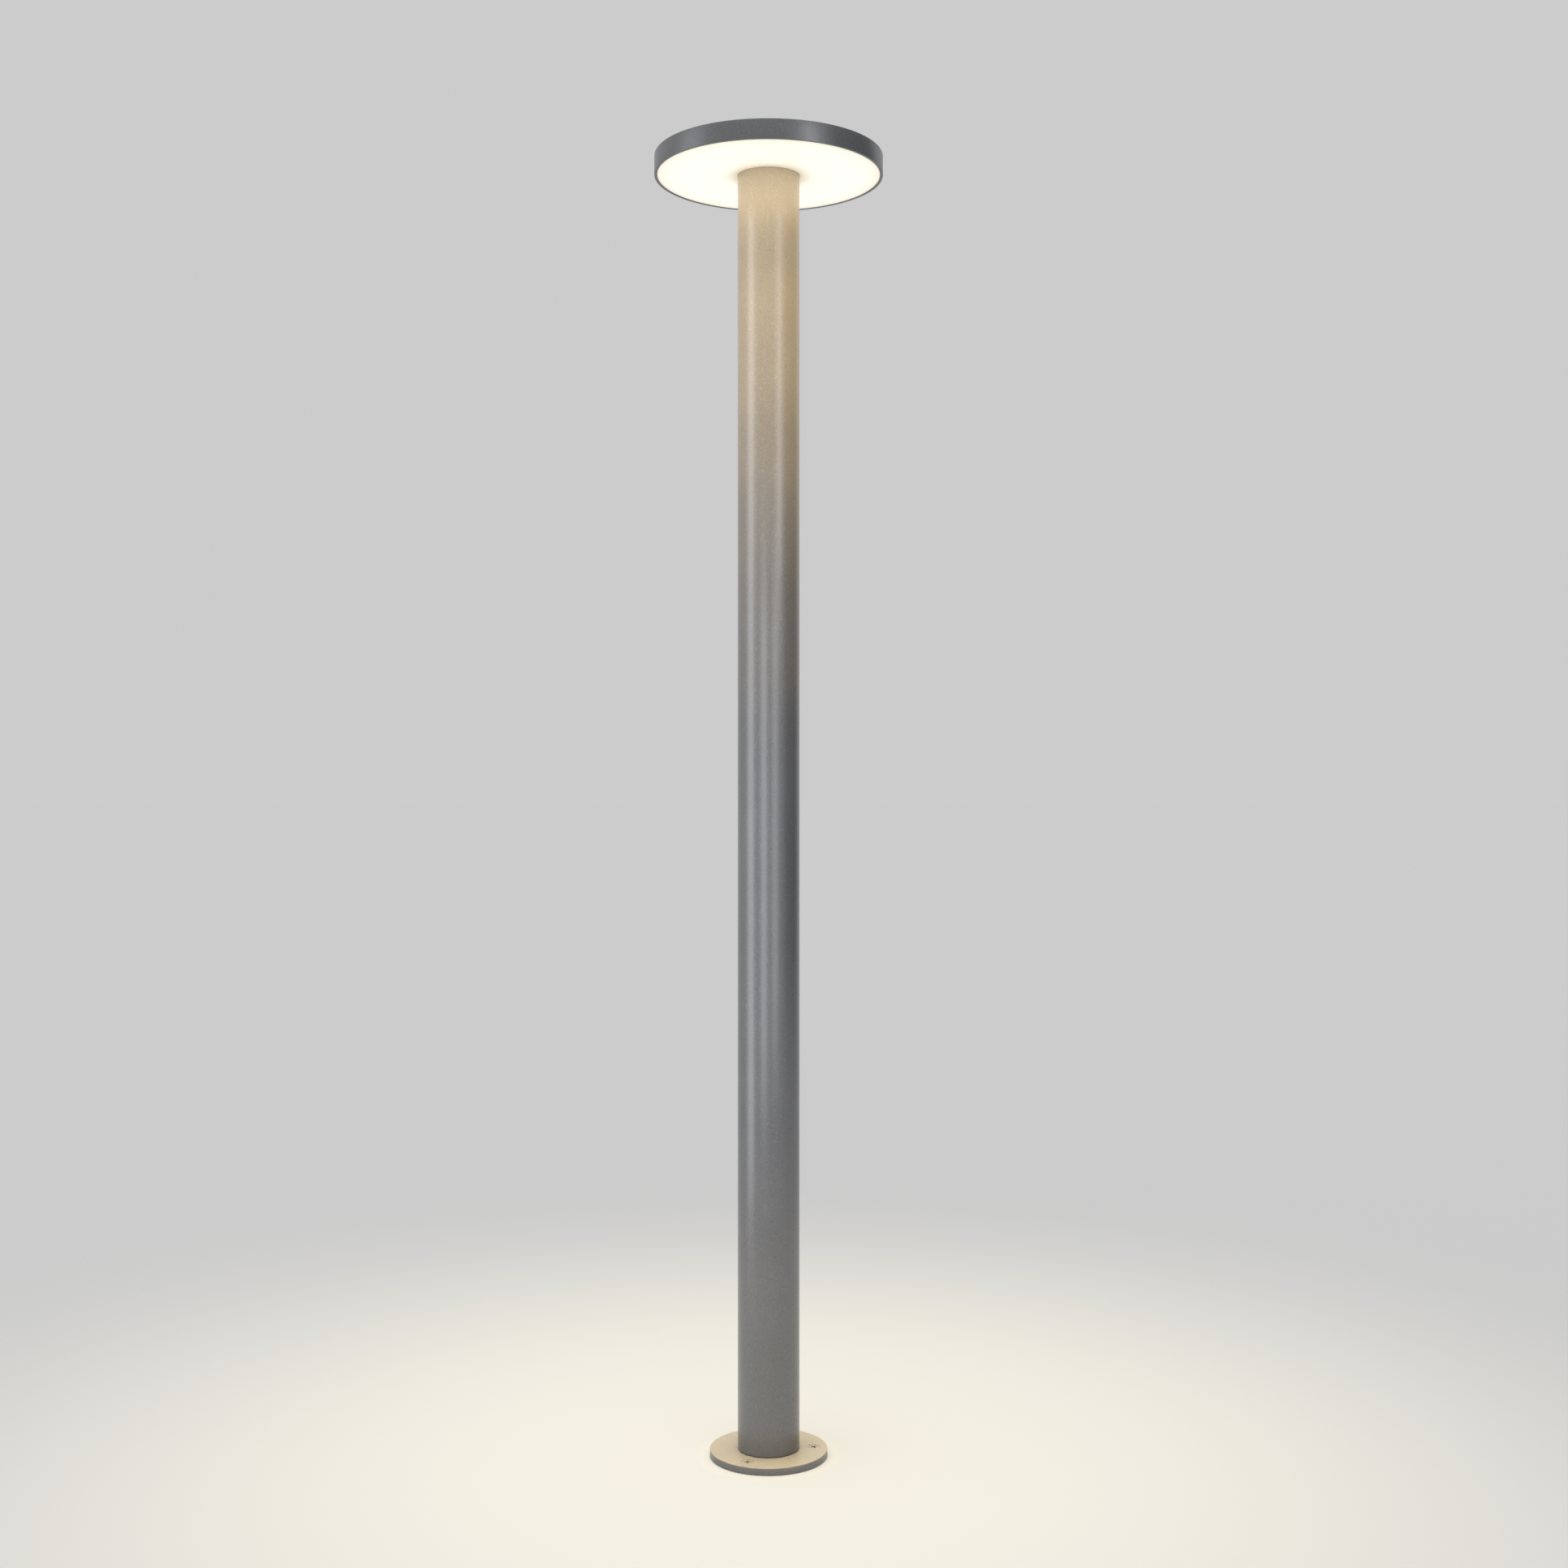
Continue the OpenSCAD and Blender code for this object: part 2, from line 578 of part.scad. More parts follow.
// One of the cable's two cores, over the carrier and into the board connector
module led_core(y) rotate([0, 0, lead_ang])
    wire(smooth([[0, y, cable_end_z], [0, y, carrier_lo - 8], [2, y, carrier_lo - 2],
        [carrier_hole_r * 0.6, y, carrier_hi + 0.6], [carrier_hole_r, y, core_z],
        [(carrier_hole_r + carrier_r) / 2, y, core_z], [carrier_r - 2, y, core_z],
        [board_ri - 1, y, (core_z + plug_z) / 2], [plug_r, y, plug_z],
        [plug_r + core_in_plug, y, plug_z]], 3), core_d, [0, 1, 0]);

module led_core_plus() color([0.7, 0.1, 0.08]) led_core(core_y);

module led_core_minus() color(rubber) led_core(-core_y);

// ---- Head ----

module head_carrier() color(zinc) difference() {
    ring(carrier_hole_r, carrier_r, carrier_lo, carrier_t);
    three(port_c, port_ang) translate([0, 0, carrier_hi])
        csk_cut(screw_d, screw_head_d, carrier_t + 1, hole_gap);
    three(housing_screw_r, first_screw) translate([0, 0, carrier_lo]) mirror([0, 0, 1])
        csk_cut(housing_screw_d, housing_head_d, carrier_t + 1, hole_gap);
}

module carrier_screws() color(zinc) three(port_c, port_ang)
    translate([0, 0, carrier_hi - head_gap]) csk_screw(screw_d, screw_head_d, carrier_screw_len);

module carrier_grommet() color(rubber) translate([0, 0, carrier_lo - trim_t])
    bush(carrier_hole_r - 1, carrier_hole_r - rubber_gap, carrier_hole_r + trim_lip,
        carrier_t + 2 * trim_t, trim_t);

module head_housing() color(graphite) difference() {
    union() {
        difference() {
            rotate_extrude() polygon([[0, rim_z], [head_r - head_edge / 2, rim_z],
                [head_r, rim_z + head_edge / 2], [head_r, total_h - head_edge],
                [head_r - head_edge, total_h], [0, total_h]]);
            translate([0, 0, rim_z - 1]) cylinder(r = head_ri, h = ceiling_z - rim_z + 1);
        }
        ring(head_ri - ledge_w, head_ri + e, ledge_lo, ledge_h);
        three(housing_screw_r, first_screw) translate([0, 0, carrier_hi])
            cylinder(r = housing_boss_r, h = wire_room + e);
    }
    three(housing_screw_r, first_screw) translate([0, 0, carrier_hi - 1])
        cylinder(r = housing_screw_d / 2 + thread_gap, h = 1 + housing_screw_len - carrier_t + 0.5);
    board_screw_places() translate([0, 0, ceiling_z - 1])
        cylinder(r = small_screw_d / 2 + thread_gap, h = 1 + head_top - 0.8);
}

module housing_screws() color(zinc) three(housing_screw_r, first_screw)
    translate([0, 0, carrier_lo + head_gap]) mirror([0, 0, 1])
        csk_screw(housing_screw_d, housing_head_d, housing_screw_len);

// Places of the board's inner and outer screws
module board_screw_places() {
    for (s = board_screws_at) three(s[0], lead_ang + s[1]) children();
}

module thermal_pad() color([0.6, 0.7, 0.8]) difference() {
    ring(board_ri + 1, board_ro - 0.5, ceiling_z - pad_t, pad_t);
    board_screw_places() translate([0, 0, ceiling_z - 1]) cylinder(r = 2, h = 2);
}

module led_board() color(white) difference() {
    ring(board_ri, board_ro, board_z, board_t);
    board_screw_places() translate([0, 0, board_z - 1])
        cylinder(r = small_screw_d / 2 + hole_gap, h = board_t + 2);
}

module leds() color([1, 0.9, 0.5]) for (i = [0:led_rings - 1]) {
    r = led_ring_in + (led_rings > 1 ? i * (led_ring_out - led_ring_in) / (led_rings - 1) : 0);
    count = floor(2 * PI * r / led_pitch);
    for (k = [0:count - 1]) rotate([0, 0, 360 * k / count])
        translate([r - led_l / 2, -led_w / 2, led_z]) cube([led_l, led_w, led_h]);
}

module board_connector() color(white) rotate([0, 0, lead_ang]) difference() {
    translate([plug_r, -plug_w / 2, board_z - plug_h]) cube([plug_l, plug_w, plug_h]);
    for (y = [-core_y, core_y]) translate([plug_r - 1, y, plug_z]) rotate([0, 90, 0])
        cylinder(r = core_d / 2 + wire_gap, h = 1 + core_in_plug + 0.1);
}

module board_screws() color(zinc) board_screw_places() translate([0, 0, board_z])
    mirror([0, 0, 1]) pan_screw(small_screw_d, pan_d, pan_h, board_t + pad_t + head_top - 1);

module diffuser() color(white) {
    ring(post_r + collar_gap, head_ri - fit_gap, diffuser_lo, diffuser_t);
    ring(post_r + collar_seal_w, post_r + collar_seal_w + collar_w, diffuser_hi - e, collar_h + e);
    for (k = [0:hook_count - 1]) rotate([0, 0, lead_ang + 360 * (k + 0.5) / hook_count]) {
        translate([hook_ro - hook_t, -hook_w / 2, diffuser_hi - e])
            cube([hook_t, hook_w, ledge_hi + barb_gap + barb_h - diffuser_hi + e]);
        translate([hook_ro - e, -hook_w / 2, ledge_hi + barb_gap]) cube([barb_out, hook_w, barb_h]);
    }
}

module diffuser_seal() color(rubber)
    ring(head_ri - ledge_w + seal_side, head_ri - fit_gap - seal_side, diffuser_hi, seal_h);

module post_collar_seal() color(rubber)
    ring(post_r + rubber_gap, post_r + collar_seal_w - rubber_gap, diffuser_hi, collar_h);

// ---- Assembly ----

mounting_ring();
base_flange();
flange_screws();
cable_grommet();
post_seal();
post_foot_screws();
post_tube();
gear_tray();
tray_screws();
terminal_block();
terminal_clamps();
terminal_screws();
terminal_mount_screws();
driver_case();
driver_end_caps();
driver_board();
driver_components();
driver_screws();
live_lead();
neutral_lead();
earth_lead();
earth_screw();
led_cable();
cable_tie();
led_core_plus();
led_core_minus();
head_carrier();
carrier_screws();
carrier_grommet();
head_housing();
housing_screws();
thermal_pad();
led_board();
leds();
board_connector();
board_screws();
diffuser();
diffuser_seal();
post_collar_seal();
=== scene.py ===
"""Builds the finished looks of a disc-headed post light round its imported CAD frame.

The parts that show are modelled again in fine detail where the CAD nodes stand. The gear inside
the post and the head keeps the frame's meshes, and everything gets a procedural finish that is
named for the real one.
"""
import json
import logging
import math
from dataclasses import dataclass, field
from enum import Enum

import bmesh
import bpy
from mathutils import Euler, Matrix, Vector


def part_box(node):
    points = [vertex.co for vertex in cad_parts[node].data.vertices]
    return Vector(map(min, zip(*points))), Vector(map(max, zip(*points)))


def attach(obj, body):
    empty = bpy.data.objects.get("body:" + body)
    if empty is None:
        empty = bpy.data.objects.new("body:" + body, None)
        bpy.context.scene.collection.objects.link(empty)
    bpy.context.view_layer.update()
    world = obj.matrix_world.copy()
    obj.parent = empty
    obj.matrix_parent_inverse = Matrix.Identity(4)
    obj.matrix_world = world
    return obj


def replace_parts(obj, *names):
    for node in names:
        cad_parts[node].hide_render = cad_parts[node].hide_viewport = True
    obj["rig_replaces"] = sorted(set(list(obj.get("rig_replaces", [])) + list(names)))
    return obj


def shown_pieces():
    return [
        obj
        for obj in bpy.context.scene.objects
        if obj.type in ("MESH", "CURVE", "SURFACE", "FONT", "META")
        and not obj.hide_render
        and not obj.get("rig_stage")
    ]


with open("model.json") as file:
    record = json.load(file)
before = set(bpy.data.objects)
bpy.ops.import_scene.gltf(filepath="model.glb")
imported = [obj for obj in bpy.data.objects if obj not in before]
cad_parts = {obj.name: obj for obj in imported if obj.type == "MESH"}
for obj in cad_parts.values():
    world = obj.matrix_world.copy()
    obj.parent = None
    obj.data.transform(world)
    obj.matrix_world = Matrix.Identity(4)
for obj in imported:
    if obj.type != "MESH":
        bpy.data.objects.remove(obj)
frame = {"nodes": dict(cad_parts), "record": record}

MM = 0.001
BODY = "root"
LOG = logging.getLogger("post_light")
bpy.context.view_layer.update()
SLOTS = {part["node"]: part["material_slot"] for part in frame["record"]["subparts"]}

# How far a cutter goes on past the faces that it opens, in millimetres.
PAST = 1.0
# Points nearer than this are one point, in millimetres.
WELD = 1e-4
# A point this near a circle lies on it, in millimetres.
NEAR = 0.02
# Radius of the circle that the post's screws stand on, in millimetres.
PORT_CIRCLE = 18.75
# Angle of the first flange screw, the step to the next and the step to a post screw, in degrees.
FIRST_SCREW = 3.2
THIRD = 120.0
HALF_STEP = THIRD / 2

Piece = bpy.types.Object
Point = tuple[float, float]
Shape = bmesh.types.BMesh
Socket = bpy.types.NodeSocket
Tree = bpy.types.NodeTree
Triple = tuple[float, float, float]
Links = dict[str | int, object]


class Cut(Enum):
    """What a tool solid does to the piece it meets."""

    TAKE_AWAY = "DIFFERENCE"
    ADD = "UNION"


# ---- Finishes ----


def linear(code: str) -> tuple[float, float, float, float]:
    """Turns an sRGB hex colour into the linear colour that shaders and lights take.

    Args:
        code: Six hex digits, red first, with or without a hash sign.

    Returns:
        Red, green, blue and an alpha of 1.
    """
    digits = code.lstrip("#")
    shares = [int(digits[i:i + 2], 16) / 255 for i in (0, 2, 4)]
    red, green, blue = (s / 12.92 if s <= 0.04045 else ((s + 0.055) / 1.055) ** 2.4 for s in shares)
    return red, green, blue, 1.0


def add_node(tree: Tree, kind: str, links: Links | None = None, **settings: object) -> bpy.types.Node:
    """Adds one node with its settings and links.

    Args:
        tree: The tree that takes the node.
        kind: The node's type, such as ShaderNodeTexNoise.
        links: For an input's name or number, the output that feeds it or the value it holds.
        settings: The node's own settings by name.

    Returns:
        The new node.
    """
    made = tree.nodes.new(kind)
    for name, value in settings.items():
        setattr(made, name, value)
    for socket, source in (links or {}).items():
        if isinstance(source, Socket):
            tree.links.new(source, made.inputs[socket])
        else:
            made.inputs[socket].default_value = source
    return made


@dataclass(frozen=True)
class Finish:
    """A surface with soft patches of two shades, an uneven gloss and a fine grain.

    Attributes:
        name: The finish in a maker's words, and its slot in the record.
        shade: Colour of the darker patches.
        tint: Colour of the lighter patches.
        patch_mm: Distance between two patches.
        grain_mm: Distance between two grains of the surface.
        grain_depth_mm: Height of those grains.
        gloss: Lowest and highest roughness.
        metallic: 1 for bare metal, 0 for a coat or plastic.
        ior: Refraction of a coat or plastic. Metals leave it alone.
        patch_edges: Noise values at which a patch is all shade and all tint.
        grain_span: Noise values between which nearly all of the grain lies.
    """

    name: str
    shade: str
    tint: str
    patch_mm: float
    grain_mm: float
    grain_depth_mm: float
    gloss: Point
    metallic: float = 0.0
    ior: float = 1.5
    patch_edges: Point = (0.36, 0.64)
    grain_span: Point = (0.3, 0.7)

    def material(self) -> bpy.types.Material:
        """Gives the material, which is made once and then shared.

        Returns:
            The material.
        """
        found = bpy.data.materials.get(self.name)
        if found and found.get("dressed"):
            return found
        made = bpy.data.materials.new(self.name)
        made["dressed"] = True
        made.use_nodes = True
        tree = made.node_tree
        tree.nodes.clear()
        place = add_node(tree, "ShaderNodeTexCoord").outputs["Object"]
        shader = add_node(tree, "ShaderNodeBsdfPrincipled", {"Metallic": self.metallic})
        if self.metallic < 1:
            shader.inputs["IOR"].default_value = self.ior
        add_node(tree, "ShaderNodeOutputMaterial", {"Surface": shader.outputs["BSDF"]})
        tree.links.new(self.colour(tree, place), shader.inputs["Base Color"])
        self.relief(tree, place, shader)
        self.extras(tree, place, shader)
        made.diffuse_color = linear(self.tint)
        return made

    def colour(self, tree: Tree, place: Socket) -> Socket:
        """Mixes the two shades in soft patches.

        Args:
            tree: The material's tree.
            place: Object coordinates.

        Returns:
            The base colour's output.
        """
        patches = add_node(tree, "ShaderNodeTexNoise", {
            "Vector": place, "Scale": 1 / (self.patch_mm * MM), "Detail": 3.0, "Roughness": 0.55})
        ramp = add_node(tree, "ShaderNodeValToRGB", {"Fac": patches.outputs["Fac"]})
        for stop, at, code in zip(ramp.color_ramp.elements, self.patch_edges, (self.shade, self.tint)):
            stop.position = at
            stop.color = linear(code)
        return ramp.outputs["Color"]

    def grain(self, tree: Tree, place: Socket) -> Socket:
        """Gives the height of the surface's grain from 0 to 1.

        Args:
            tree: The material's tree.
            place: Object coordinates.

        Returns:
            The height's output.
        """
        return add_node(tree, "ShaderNodeTexNoise", {
            "Vector": place, "Scale": 1 / (self.grain_mm * MM), "Detail": 2.0,
            "Roughness": 0.6}).outputs["Fac"]

    def relief(self, tree: Tree, place: Socket, shader: bpy.types.Node) -> None:
        """Lets the grain raise the surface and vary its gloss.

        Args:
            tree: The material's tree.
            place: Object coordinates.
            shader: The shader that takes the roughness and the normal.
        """
        height = self.grain(tree, place)
        rough = add_node(tree, "ShaderNodeMapRange", {
            "Value": height, "From Min": self.grain_span[0], "From Max": self.grain_span[1],
            "To Min": self.gloss[0], "To Max": self.gloss[1]})
        bump = add_node(tree, "ShaderNodeBump", {
            "Height": height, "Strength": 1.0, "Distance": self.grain_depth_mm * MM})
        tree.links.new(rough.outputs["Result"], shader.inputs["Roughness"])
        tree.links.new(bump.outputs["Normal"], shader.inputs["Normal"])

    def extras(self, tree: Tree, place: Socket, shader: bpy.types.Node) -> None:
        """Adds what only one finish has. Most have nothing more.

        Args:
            tree: The material's tree.
            place: Object coordinates.
            shader: The shader that takes it.
        """


@dataclass(frozen=True)
class PowderCoat(Finish):
    """Graphite polyester powder coat with a fine texture, baked on aluminium.

    The eye sees a satin dark grey with a sandy grain, a faint metallic flake, and soft upright
    lines where the extruded tube's die lines show through.

    Attributes:
        die_line_mm: Distance between two die lines.
        die_line_stretch: Their thickness as a share of their length.
        die_line_share: Their share in the height of the grain.
        flake: Colour of the pale flakes.
        flake_share: How far a flake's colour covers the coat.
        flake_edges: Heights of the grain at which a flake starts and is full.
    """

    die_line_mm: float = 1.6
    die_line_stretch: float = 0.004
    die_line_share: float = 0.16
    flake: str = "#8a8b8e"
    flake_share: float = 0.32
    flake_edges: Point = (0.5, 0.72)

    def colour(self, tree: Tree, place: Socket) -> Socket:
        """Strews pale flakes over the two shades.

        Args:
            tree: The material's tree.
            place: Object coordinates.

        Returns:
            The base colour's output.
        """
        base = super().colour(tree, place)
        flakes = add_node(tree, "ShaderNodeMapRange", {
            "Value": super().grain(tree, place), "From Min": self.flake_edges[0],
            "From Max": self.flake_edges[1], "To Min": 0.0, "To Max": self.flake_share})
        # The mix node has its two colours at inputs 6 and 7, and the mixed one at output 2.
        return add_node(tree, "ShaderNodeMix", {
            "Factor": flakes.outputs["Result"], 6: base, 7: linear(self.flake)},
            data_type="RGBA").outputs[2]

    def grain(self, tree: Tree, place: Socket) -> Socket:
        """Adds faint upright lines to the sandy grain.

        Args:
            tree: The material's tree.
            place: Object coordinates.

        Returns:
            The height's output.
        """
        sand = super().grain(tree, place)
        drawn = add_node(tree, "ShaderNodeMapping", {
            "Vector": place, "Scale": (1.0, 1.0, self.die_line_stretch)})
        lines = add_node(tree, "ShaderNodeTexNoise", {
            "Vector": drawn.outputs["Vector"], "Scale": 1 / (self.die_line_mm * MM), "Detail": 1.0})
        return add_node(tree, "ShaderNodeMix", {
            "Factor": self.die_line_share, "A": sand, "B": lines.outputs["Fac"]}).outputs["Result"]


@dataclass(frozen=True)
class OpalAcrylic(Finish):
    """Opal cast acrylic, lit from behind by warm white LEDs.

    The eye sees an even warm white face that is a little dimmer beside the post and at the rim,
    where no LEDs stand behind it.

    Attributes:
        glow: Radius in millimetres and colour of the light that comes through, from the post out.
        strength: Strength of that light.
        reach_mm: Radius at which the colours end.
    """

    glow: tuple[tuple[float, str], ...] = (
        (24.0, "#a39a86"), (28.0, "#c0b8a7"), (34.0, "#dcd7c8"), (40.0, "#e0ddcf"),
        (70.0, "#e0ddcf"), (80.0, "#dad3c4"), (86.0, "#c8bcae"))
    strength: float = 0.95
    reach_mm: float = 90.0

    def extras(self, tree: Tree, place: Socket, shader: bpy.types.Node) -> None:
        """Lights the acrylic, with the dim zones at both edges.

        Args:
            tree: The material's tree.
            place: Object coordinates.
            shader: The shader that glows.
        """
        axes = add_node(tree, "ShaderNodeSeparateXYZ", {"Vector": place}).outputs
        flat = add_node(tree, "ShaderNodeCombineXYZ", {"X": axes["X"], "Y": axes["Y"]})
        radius = add_node(tree, "ShaderNodeVectorMath", {0: flat.outputs["Vector"]},
                          operation="LENGTH").outputs["Value"]
        share = add_node(tree, "ShaderNodeMath", {0: radius, 1: self.reach_mm * MM},
                         operation="DIVIDE")
        ramp = add_node(tree, "ShaderNodeValToRGB", {"Fac": share.outputs[0]})
        stops = ramp.color_ramp.elements
        for i, (at, code) in enumerate(self.glow):
            stop = stops[i] if i < 2 else stops.new(1.0)
            stop.position = at / self.reach_mm
            stop.color = linear(code)
        tree.links.new(ramp.outputs["Color"], shader.inputs["Emission Color"])
        shader.inputs["Emission Strength"].default_value = self.strength


# The finish of each slot in the record.
FINISHES = {finish.name: finish for finish in (
    # Fine-textured powder coat. Its grain is about 0.3 mm and is drawn at 1.6 mm, because a
    # finer one would not show.
    PowderCoat("graphite_powder_coat", "#6c6d70", "#707174", 60.0, 1.6, 0.06,
               (0.27, 0.37), metallic=0.5),
    # Bright zinc on steel: a cool metal with faint clouds from the bath.
    Finish("zinc_plated_steel", "#a9adb3", "#c3c6c9", 6.0, 0.4, 0.004, (0.26, 0.42), metallic=1.0),
    # Oil-blackened steel, bare in a screw's cross recess: dark with a dull sheen. It is also
    # painted shade: its darkness stands for the shade that falls in the recess.
    Finish("blackened_steel", "#19191b", "#232325", 1.0, 0.2, 0.004, (0.5, 0.65), metallic=0.6),
    # Moulded EPDM: near black and dull, with the mould's fine matt grain.
    Finish("black_rubber", "#161617", "#222223", 8.0, 0.25, 0.01, (0.68, 0.82)),
    # Cast silicone: milky and half dull.
    Finish("clear_silicone", "#d6d8d8", "#e4e6e6", 8.0, 0.5, 0.006, (0.42, 0.55), ior=1.41),
    # Filled silicone sheet: soft blue-grey, dry to the eye.
    Finish("thermal_silicone", "#7d90a3", "#8d9fb1", 5.0, 0.2, 0.01, (0.7, 0.8), ior=1.41),
    # Turned brass: yellow metal with fine tool marks.
    Finish("brass", "#c69c53", "#dcb873", 5.0, 0.2, 0.004, (0.22, 0.36), metallic=1.0),
    # Moulded nylon 6: off-white with a faint bloom.
    Finish("white_nylon", "#dedcd2", "#ebe9e1", 10.0, 0.3, 0.008, (0.42, 0.56), ior=1.53),
    # Moulded polycarbonate: light grey-white, spark-eroded matt grain.
    Finish("driver_plastic", "#d5d6d4", "#e0e1df", 14.0, 0.35, 0.012, (0.5, 0.64), ior=1.58),
    # Glass-epoxy laminate under green solder mask: glossy, with a weave just showing.
    Finish("green_laminate", "#0c4a28", "#13603a", 2.0, 0.6, 0.006, (0.22, 0.34), ior=1.55),
    # Transfer-moulded epoxy: charcoal, fine matt.
    Finish("component_plastic", "#26272a", "#323336", 3.0, 0.2, 0.006, (0.45, 0.6)),
    # PVC wire insulation: smooth and half glossy in the wiring colours.
    *(Finish(f"{wire}_insulation", shade, tint, 4.0, 0.6, 0.004, (0.3, 0.42), ior=1.53)
      for wire, shade, tint in (
          ("brown", "#5a2f17", "#6b3a1e"), ("blue", "#1c4c9c", "#2659ab"),
          ("earth", "#3d8a2d", "#4a9a36"), ("red", "#9c1a15", "#ad241d"),
          ("black", "#19191a", "#232324"))),
    # Rubber cable sheath: dull black with a talc bloom.
    Finish("cable_sheath", "#1b1b1c", "#2a2a2b", 12.0, 0.5, 0.01, (0.55, 0.7)),
    # Milled aluminium: bright metal with fine cutter marks.
    Finish("bare_aluminium", "#c4c6c8", "#d4d5d6", 8.0, 0.5, 0.004, (0.28, 0.4), metallic=1.0),
    # White solder mask on an aluminium-core board: clean and half glossy.
    Finish("white_board", "#e6e7e4", "#efefec", 10.0, 0.4, 0.003, (0.3, 0.42)),
    # LED package: white ceramic-filled resin.
    Finish("led_package", "#eeead9", "#f6f2e4", 1.5, 0.3, 0.003, (0.35, 0.5)),
    OpalAcrylic("opal_acrylic", "#c6c4bd", "#cac8c1", 20.0, 1.0, 0.004, (0.34, 0.42), ior=1.49),
)}


# ---- Mesh work ----


def new_piece(name: str, mesh: Shape) -> Piece:
    """Turns a bmesh in millimetres into an object in metres.

    Args:
        name: The object's name.
        mesh: The finished bmesh, which is freed.

    Returns:
        The object, at the origin and unscaled.
    """
    bmesh.ops.scale(mesh, vec=(MM, MM, MM), verts=mesh.verts)
    data = bpy.data.meshes.new(name)
    mesh.to_mesh(data)
    mesh.free()
    made = bpy.data.objects.new(name, data)
    bpy.context.scene.collection.objects.link(made)
    return made


def spun(outline: list[Point], steps: int = 96, closed: bool = True) -> Shape:
    """Spins an outline of radius and height points once round the z axis.

    Args:
        outline: The points, in order. A point on the axis makes a pole.
        steps: Facets round the turn.
        closed: Whether the last point joins the first.

    Returns:
        The closed shell, its faces outwards.
    """
    mesh = bmesh.new()
    points = [mesh.verts.new((r, 0.0, z)) for r, z in outline]
    edges = [mesh.edges.new(pair) for pair in zip(points, points[1:])]
    if closed:
        edges.append(mesh.edges.new((points[-1], points[0])))
    bmesh.ops.spin(mesh, geom=points + edges, cent=(0, 0, 0), axis=(0, 0, 1), dvec=(0, 0, 0),
                   angle=math.tau, steps=steps, use_merge=True, use_duplicate=False)
    bmesh.ops.remove_doubles(mesh, verts=mesh.verts, dist=WELD)
    bmesh.ops.recalc_face_normals(mesh, faces=mesh.faces)
    return mesh


def rod(radius: float, low: float, high: float) -> Shape:
    """Spins an upright round bar on the z axis, to bore with or to add as a boss.

    Args:
        radius: The bar's radius.
        low: Height of its lower end.
        high: Height of its upper end.

    Returns:
        The bar.
    """
    return spun([(0, low), (radius, low), (radius, high), (0, high)], steps=48, closed=False)


def round_rings(mesh: Shape, rings: list[Triple], segments: int = 3) -> None:
    """Rounds the sharp circles of a spun shell.

    Args:
        mesh: The shell.
        rings: Radius, height and round-over of each circle.
        segments: Facets across each round.
    """
    for radius, height, size in rings:
        ring = [e for e in mesh.edges if all(
            abs(v.co.xy.length - radius) < NEAR and abs(v.co.z - height) < NEAR for v in e.verts)]
        bmesh.ops.bevel(mesh, geom=ring, offset=size, offset_type="OFFSET", affect="EDGES",
                        segments=segments, profile=0.5, material=-1, clamp_overlap=True)


def placed(mesh: Shape, at: Triple, turn: float = 0.0, flip: bool = False) -> Shape:
    """Moves a shape to its place.

    Args:
        mesh: The shape, built at the origin.
        at: Where its origin goes.
        turn: Its turn round its own z axis, in degrees.
        flip: Whether it points the other way.

    Returns:
        The same bmesh.
    """
    matrix = Matrix.Translation(at) @ Matrix.Rotation(math.radians(turn), 4, "Z")
    if flip:
        matrix = matrix @ Matrix.Rotation(math.pi, 4, "X")
    bmesh.ops.transform(mesh, matrix=matrix, verts=mesh.verts)
    return mesh


def combine(piece: Piece, tools: list[Shape], cut: Cut) -> None:
    """Adds tool solids to a piece, or takes them away, and keeps the result as its mesh.

    Args:
        piece: The piece, a closed solid.
        tools: The tool solids in millimetres. They are used up.
        cut: Whether they add or take away.
    """
    helpers = [new_piece(f"tool_{i}", tool) for i, tool in enumerate(tools)]
    for helper in helpers:
        step = piece.modifiers.new("combine", "BOOLEAN")
        step.operation = cut.value
        step.solver = "EXACT"
        step.object = helper
    ready = piece.evaluated_get(bpy.context.evaluated_depsgraph_get())
    made = bpy.data.meshes.new_from_object(ready)
    piece.modifiers.clear()
    spent = piece.data
    piece.data = made
    made.name = piece.name
    bpy.data.meshes.remove(spent)
    for helper in helpers:
        bpy.data.meshes.remove(helper.data)


def dress(piece: Piece, node: str) -> None:
    """Gives a piece the finish of a CAD node as its only material.

    Args:
        piece: The piece.
        node: The node whose finish it gets.
    """
    piece.data.materials.clear()
    piece.data.materials.append(FINISHES[SLOTS[node]].material())
    LOG.info("%s: %d faces, finish %s", piece.name, len(piece.data.polygons), SLOTS[node])


def show(piece: Piece, node: str, angle: float = 32.0) -> Piece:
    """Smooths a finished piece, gives it its node's finish and puts it in the frame.

    Args:
        piece: The finished piece.
        node: The CAD node that it stands for.
        angle: Edges sharper than this stay sharp, in degrees.

    Returns:
        The piece.
    """
    dress(piece, node)
    piece.data.shade_smooth()
    piece.data.set_sharp_from_angle(angle=math.radians(angle))
    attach(piece, BODY)
    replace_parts(piece, node)
    return piece


def reach(node: str) -> Triple:
    """Gives a round node's radius and its lowest and highest point in millimetres.

    Args:
        node: The CAD node's name.

    Returns:
        The radius, the lowest z and the highest z.
    """
    low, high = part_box(node)
    return (high.x - low.x) / 2 / MM, low.z / MM, high.z / MM


def three_places(radius: float, first: float) -> list[Triple]:
    """Lists three places round the axis.

    Args:
        radius: Their distance from the axis.
        first: The first one's angle, in degrees.

    Returns:
        The x, the y and the angle of each place.
    """
    return [(radius * math.cos(math.radians(a)), radius * math.sin(math.radians(a)), a)
            for a in (first, first + THIRD, first + 2 * THIRD)]


# ---- Screws ----


